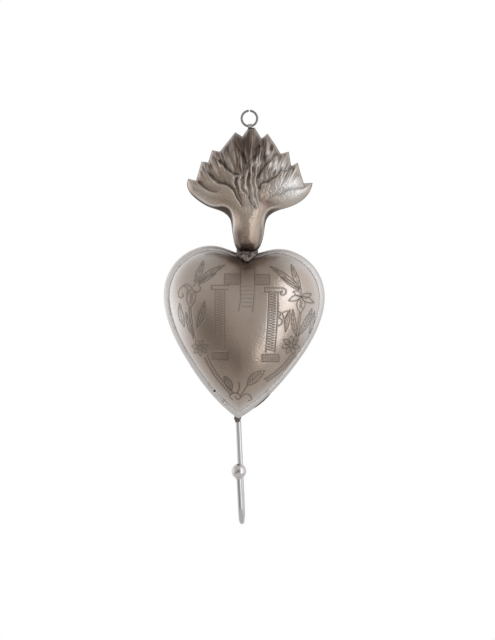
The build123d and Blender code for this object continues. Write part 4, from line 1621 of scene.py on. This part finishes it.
class Relief:
    """The beaten surface of the flame over its back sheet, worked up in steps at many places."""

    def __init__(self, flame: Flame, points: np.ndarray, edge: np.ndarray) -> None:
        """Starts flat and clean.

        Args:
            flame: The flame, for its sizes and creases.
            points: Places in squares.
            edge: Distance of each to the outline, in squares.
        """
        self.flame = flame
        self.points = points
        self.x, self.y = points.T
        self.edge = edge
        self.height = np.zeros(len(points))
        self.recess = np.zeros(len(points))
        self.rub = np.zeros(len(points))
        self.stem = self.down(90, 12)
        self.strands = self.spot((2, 68), (10, 20))

    def spot(self, middle: Pair, reach: Pair) -> np.ndarray:
        """A soft spot on the sheet, 1 at its middle."""
        return soft_spot(self.x, self.y, middle, reach)

    def down(self, row: float, reach: float) -> np.ndarray:
        """A step from 0 above a row to 1 at a reach below it."""
        return smooth_step((self.y - row) / reach)

    def inward(self, start: float, reach: float) -> np.ndarray:
        """A step from 0 at a start inside the outline to 1 at a reach further in."""
        return smooth_step((self.edge - start) / reach)

    def darken(self, share: np.ndarray) -> None:
        """Takes a share as the recess, which holds patina in hollows and painted shade, where it is the
        greater.
        """
        self.recess = np.maximum(self.recess, share)

    def brighten(self, share: np.ndarray) -> None:
        """Takes a share as the rub, which holds wear and painted highlights, where it is the greater."""
        self.rub = np.maximum(self.rub, share)

    def worked(self) -> tuple[np.ndarray, dict[str, np.ndarray]]:
        """Does all the work on the sheet.

        Returns:
            Heights in metres, and the marks of each place: its recess with painted shade, how dark it is from
            aged tone and painted shade, and how far it is rubbed bright or painted with a highlight.
        """
        self.swell()
        self.roll_lip()
        self.press()
        ridges = self.grain()
        marks = {"tone": self.age(ridges), "recess": self.recess, "rub": self.rub}
        return self.height, {name: np.clip(marks[name], 0, 1) for name in ("recess", "tone", "rub")}

    def swell(self) -> None:
        """Raises the leaves and the round stem over a low flange, and paints shade along the stem's flange,
        down its left side and under its round foot.
        """
        flame = self.flame
        low = flame.edge_height
        across = (self.x - flame.core[0]) / flame.core_width
        above = np.maximum(0, (flame.core[1] - self.y) / flame.core_rise)
        crown = flame.leaf_height + (flame.stem_height - flame.leaf_height) * np.exp(-(across**2) - above**2)
        crown += 0.0022 * self.spot((31, 50), (15, 15))
        self.height = low + (crown - low) * (1 - np.exp(-self.edge * flame.square / flame.edge_round))
        flange = 1 - self.inward(1.2, 3.2)
        self.height -= self.stem * flange * (self.height - low) * 0.35
        # Painted shade: a line inside the flange, a band down the stem's left side, and a shadow under the
        # round foot.
        self.darken(self.stem * soft_band(self.edge, 2.6, 0.8) * np.where(self.x < 0, 0.25, 0.5))
        shade = soft_band(self.x, -10, 3.6) * self.inward(1.5, 1.5)
        self.darken(0.28 * shade * self.down(100, 8))
        self.darken(self.down(114, 5) * soft_band(self.edge, 0, 2.4))

    def roll_lip(self) -> None:
        """Rolls the lower edge of the leaves under, paints shade under the roll and a highlight along it."""
        below = self.down(56, 14) * (1 - self.down(94, 10))
        below *= np.where(self.x < 0, 1, soft_band(self.x, 19, 14))
        lip = 0.8 + 4.6 * self.spot((-23, 81), (9, 9)) + 2.4 * self.spot((20, 82), (9, 9))
        under = below * (1 - smooth_step((self.edge - lip) / 0.9 + 0.5))
        # Painted shade under the rolled edge.
        self.darken(0.85 * under)
        self.height -= under * (self.height - self.flame.edge_height) * 0.5
        # Painted highlight along the roll.
        self.brighten(0.75 * below * soft_band(self.edge - lip, 1.5, 0.9))

    def press(self) -> None:
        """Presses the valleys in and raises the strands, along lines that sway a little."""
        sway = noises(self.x, self.y, (0.15, 0.15), 9.4)
        swayed = self.points + np.column_stack([sway * 2.2, sway * 0.6])
        inside = np.clip(self.edge / 2.5, 0, 1)
        for crease in self.flame.creases():
            line = rounded(crease.points)
            behind = np.array(crease.behind)
            gap, along = distance_to_line(swayed, line)
            aside, _ = distance_to_line(swayed, line + behind)
            reach = crease.start + (crease.end - crease.start) * along
            taper = np.clip(np.minimum(along, 1 - along) / 0.18, 0.15, 1) ** 0.5
            near = soft_band(gap, 0, crease.width * taper)
            broad = soft_band(aside, 0, crease.width * 2.8)
            self.height -= crease.depth * reach * (0.6 * near + 0.4 * broad) * inside
            # The valleys darken, as patina in them and as painted shade on the side of the leaf behind.
            dark = soft_band(gap, 0, crease.width * 0.55 * taper)
            shade = 0.35 * soft_band(aside, 0, crease.width * 1.9)
            self.darken(crease.dark * np.maximum(dark, shade) * np.clip(reach * 1.3, 0, 1))
            # Raised strands lighten, as wear and as painted highlight.
            if crease.depth < 0:
                self.brighten(0.42 * near * taper)
            # Painted highlight along the lip of the leaf in front of the valley.
            if behind.any():
                beside, _ = distance_to_line(swayed, line - behind * 1.15)
                self.brighten(0.28 * soft_band(beside, 0, 1.2) * taper)

    def grain(self) -> np.ndarray:
        """Lays fine lines that fan out from the stem, a soft grain and a pitted patch.

        Returns:
            How far each place stands on the ridge of a fine line.
        """
        turn = np.arctan2(self.x + 2, 122 - self.y)
        far = np.hypot(self.x + 2, 122 - self.y)
        streaks = noises(turn, far, (34, 0.05), 1.3)
        finer = noises(turn, far, (60, 0.08), 5.1)
        grain = noises(self.x, self.y, (0.45, 0.45), 2.2)
        dimples = noises(self.x, self.y, (0.9, 0.9), 7.7)
        inner = np.clip(self.edge / 3, 0, 1)
        leafy = smooth_step((64 - self.y) / 24) * inner * (1 - 0.75 * self.spot((-24, 46), (9, 7)))
        leafy = np.maximum(leafy, 0.55 * self.strands * inner)
        pitted = self.spot((28, 61), (15, 9))
        self.height += leafy * (streaks * 0.0008 + finer * 0.0004) + inner * grain * 0.0001
        self.height += pitted * (finer * 0.0002 + dimples * 0.0003)
        self.darken(leafy * np.clip(-streaks * 3 - 0.45, 0, 0.55))
        self.darken(leafy * np.clip(-finer * 3.6 - 0.5, 0, 0.85))
        self.darken(pitted * np.clip(-dimples * 1.8 - 0.35, 0, 0.5))
        return leafy * np.clip(streaks * 3 + finer * 0.8 - 0.25, 0, 0.6)

    def age(self, ridges: np.ndarray) -> np.ndarray:
        """Gives the tone and lightens patches, rims and ridges, with painted highlights on the right leaves and
        the stem.

        Args:
            ridges: How far each place stands on the ridge of a fine line.

        Returns:
            How dark each place is: browner on the upper leaves and towards the foot of the stem, with painted
                shade down the sides of the stem and under the right leaf.
        """
        upper = self.spot((-4, 12), (36, 34))
        lower = self.down(98, 18) * (1 - 0.6 * soft_band(self.x, 6, 4))
        shaded = soft_band(self.x, -11, 5.5) + 0.5 * soft_band(self.x, 11.5, 2.6)
        shaded *= self.down(92, 14) * self.inward(0.2, 1.2)
        # Painted highlight on the lower right leaf; painted shade under the right leaf.
        bright = self.spot((41, 60), (19, 14))
        shaded_underside = self.spot((18, 74), (11, 6))
        tone = np.maximum(0.92 * upper, np.maximum(0.68 * lower, 0.9 * shaded))
        tone = np.maximum(tone * (1 - 0.8 * bright), 0.95 * shaded_underside)
        tone = np.maximum(tone, 0.2 * self.stem)
        flange = self.stem * np.exp(-((self.edge / 2.6) ** 4)) * np.where(self.x < 0, 0.9, 0.2)
        # Painted highlights on the right leaves and along the stem's flange and middle; lighter strands, rims,
        # ridges and a patch on the left leaf.
        lights = (
            bright * (1 - 0.8 * shaded_underside),
            0.7 * self.spot((31, 39), (13, 10)),
            0.3 * self.spot((-50, 66), (14, 9)),
            0.3 * self.strands,
            0.5 * np.exp(-self.edge / 1.6) * (1 - lower),
            ridges * (1 - 0.85 * upper),
            flange * (1 - self.down(96, 12)),
            self.stem * soft_band(self.x, 8, 2.4) * 0.15,
        )
        for light in lights:
            self.brighten(light)
        return tone


# Hanging parts and hook


@dataclass
class Hanger:
    """The split ring and the rolled tin eye that it hangs in."""

    shop: Workshop

    def build(self) -> None:
        """Dresses the ring and the eye and builds the drop of solder beside it."""
        self.shop.dress("hanging_ring", self.shop.palette.ring)
        self.shop.dress("hanging_eye", self.shop.palette.strip)
        low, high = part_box("eye_solder")
        middle = (low + high) / 2
        half = (high - low) / 2
        lumps = (
            (tuple(middle), (half.x * 0.85, half.y * 0.85, half.z * 0.8)),
            (
                (middle.x + half.x * 0.3, middle.y, middle.z + half.z * 0.2),
                (half.x * 0.5, half.y * 0.7, half.z * 0.6),
            ),
        )
        blob = SolderBlob("eye_solder_drop", lumps, voxel=0.0001, roughness=0.00005)
        self.shop.place(blob.build(), self.shop.palette.solder, "ornament", "eye_solder")


@dataclass
class Hook:
    """The bent wire with its ball, and the solder cone that it hangs from."""

    shop: Workshop

    def build(self) -> None:
        """Dresses the wire and the strap, and builds the solder round them."""
        self.shop.dress("hook_wire", self.shop.palette.rod)
        self.shop.dress("shank_strap", self.shop.palette.strip)
        self.ball()
        self.collar()

    def ball(self) -> None:
        """The ball, with a painted dark reflection on its front, the wire's cut end on top and solder under it.
        """
        low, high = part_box("hook_ball")
        middle = (low + high) / 2
        radius = (high.z - low.z) / 2
        # A painted dark reflection of the camera side, on the front of the ball.
        spot = (middle.x - radius * 0.05, low.y, middle.z + radius * 0.05)
        finish = replace(self.shop.palette.ball, painted_dark_middle=spot, painted_dark_reach=radius * 0.36, painted_dark_share=0.75)
        self.shop.dress("hook_ball", finish)
        end = SolderBlob(
            "wire_end", (((middle.x, middle.y, high.z - 0.0003), (0.0013, 0.0013, 0.0003)),), 0.00012, 0.00003
        )
        self.shop.place(end.build(), self.shop.palette.collar, "ornament")
        foot = (middle.x, middle.y + 0.0005, low.z + 0.0001)
        fillet = SolderBlob("ball_fillet", ((foot, (0.0019, 0.0019, 0.0007)),), 0.00016, 0.00006)
        self.shop.place(fillet.build(), self.shop.palette.seam, "ornament")

    def collar(self) -> None:
        """The dark solder that runs down the wire from the heart's tip."""
        low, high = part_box("hook_collar")
        middle = (low + high) / 2
        lumps = (
            ((middle.x, middle.y, high.z - 0.0012), (0.0022, 0.0019, 0.0013)),
            ((middle.x - 0.0001, middle.y, middle.z - 0.0003), (0.0018, 0.0018, 0.0014)),
            ((middle.x + 0.0001, middle.y, low.z + 0.0009), (0.00152, 0.00155, 0.0012)),
        )
        pits = ((middle.x + 0.0009, middle.y - 0.0018, high.z - 0.0022, 0.0007),)
        blob = SolderBlob("tip_solder", lumps, voxel=0.0002, roughness=0.00016, pits=pits, seed=8.1)
        self.shop.place(blob.build(), self.shop.palette.collar, "ornament", "hook_collar")


# Studio


@dataclass(frozen=True)
class Card:
    """A card in the studio that the metal reflects, light or dark."""

    turn: float
    up: float
    inner: float
    outer: float
    tall: float
    colour: tuple[float, float, float]

    def mask(self, wire: Wiring, way: bpy.types.NodeSocket) -> bpy.types.NodeSocket:
        """How much of the card is met in a direction.

        Args:
            wire: Wiring of the world.
            way: The direction.

        Returns:
            A share that is 1 within the inner angle of the card's middle and 0 past the outer angle.
        """
        turn, up = radians(self.turn), radians(self.up)
        axis = Vector((sin(turn) * cos(up), -cos(turn) * cos(up), sin(up) / self.tall)).normalized()
        squeeze = (1, 1, 1 / self.tall)
        flat = wire.add("ShaderNodeVectorMath", operation="MULTIPLY", in0=way, in1=squeeze).outputs[0]
        flat = wire.add("ShaderNodeVectorMath", operation="NORMALIZE", in0=flat).outputs[0]
        near = wire.add("ShaderNodeVectorMath", operation="DOT_PRODUCT", in0=flat, in1=axis).outputs["Value"]
        return wire.step(near, cos(radians(self.outer)), cos(radians(self.inner)))


@dataclass(frozen=True)
class Studio:
    """Camera, soft light, pale floor and white background."""

    middle: Pair = (-0.00095, -0.10075)
    frame_height: float = 0.32
    sensor: float = 36.0
    floor_z: float = -0.6
    grey: tuple[float, float, float] = (0.6, 0.595, 0.59)
    cards: tuple[Card, ...] = (
        Card(-146, -8, 40, 98, 0.6, (1.03, 1.03, 1.03)),
        Card(-44, -53, 3, 49, 1.5, (0.12, 0.115, 0.11)),
        Card(0, -90, 20, 90, 1.0, (0.52, 0.5, 0.48)),
        Card(82, 19, 5, 55, 1.5, (0.93, 0.93, 0.93)),
        Card(45.5, 2, 6.5, 20, 4.0, (1.66, 1.66, 1.66)),
    )

    def build(self) -> None:
        """Sets up everything round the object."""
        self.camera()
        self.world()
        self.floor()
        bpy.context.scene.view_settings.view_transform = "Standard"

    def camera(self) -> None:
        """A long lens level with the object's middle."""
        lens = bpy.data.cameras.new("front_camera")
        lens.sensor_width = self.sensor
        lens.lens = self.sensor * VIEW_DISTANCE / self.frame_height
        lens.clip_start = 0.05
        camera = add_object("front_camera", lens)
        camera.location = (self.middle[0], -VIEW_DISTANCE, self.middle[1])
        camera.rotation_euler = (pi / 2, 0, 0)
        bpy.context.scene.camera = camera

    def world(self) -> None:
        """Cards of light and shade round a grey studio, and a white background for the camera."""
        world = bpy.data.worlds.new("studio")
        bpy.context.scene.world = world
        world.use_nodes = True
        wire = Wiring(world.node_tree)
        way = wire.add("ShaderNodeTexCoord").outputs["Generated"]
        light: object = (*self.grey, 1)
        for card in self.cards:
            light = wire.mix(card.mask(wire, way), light, (*card.colour, 1))
        around = wire.add("ShaderNodeBackground", Color=light, Strength=1.0)
        white = wire.add("ShaderNodeBackground", Color=(1, 1, 1, 1), Strength=1.0)
        seen = wire.add("ShaderNodeLightPath").outputs["Is Camera Ray"]
        both = wire.add("ShaderNodeMixShader", in0=seen, in1=around.outputs[0], in2=white.outputs[0])
        wire.add("ShaderNodeOutputWorld", in0=both.outputs[0])

    def floor(self) -> None:
        """A plain pale floor well under the hook."""
        half, near, far = 0.55, -0.65, 0.45
        corners = np.array([(-half, near, 0), (half, near, 0), (half, far, 0), (-half, far, 0)], float)
        corners[:, 2] = self.floor_z
        floor = add_mesh("pale_floor", corners, [(0, 1, 2, 3)])
        material = bpy.data.materials.new("pale_floor")
        material.use_nodes = True
        shader = material.node_tree.nodes["Principled BSDF"]
        shader.inputs["Base Color"].default_value = (0.86, 0.86, 0.85, 1)
        shader.inputs["Roughness"].default_value = 0.8
        floor.data.materials.append(material)


def main() -> None:
    """Builds the ornament piece by piece."""
    logging.basicConfig(level=logging.INFO, format="%(name)s: %(message)s")
    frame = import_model()
    Studio().build()
    shop = Workshop(frame)
    Heart(shop).build()
    Flame(shop).build()
    Hanger(shop).build()
    Hook(shop).build()


if __name__ == "__main__":
    main()
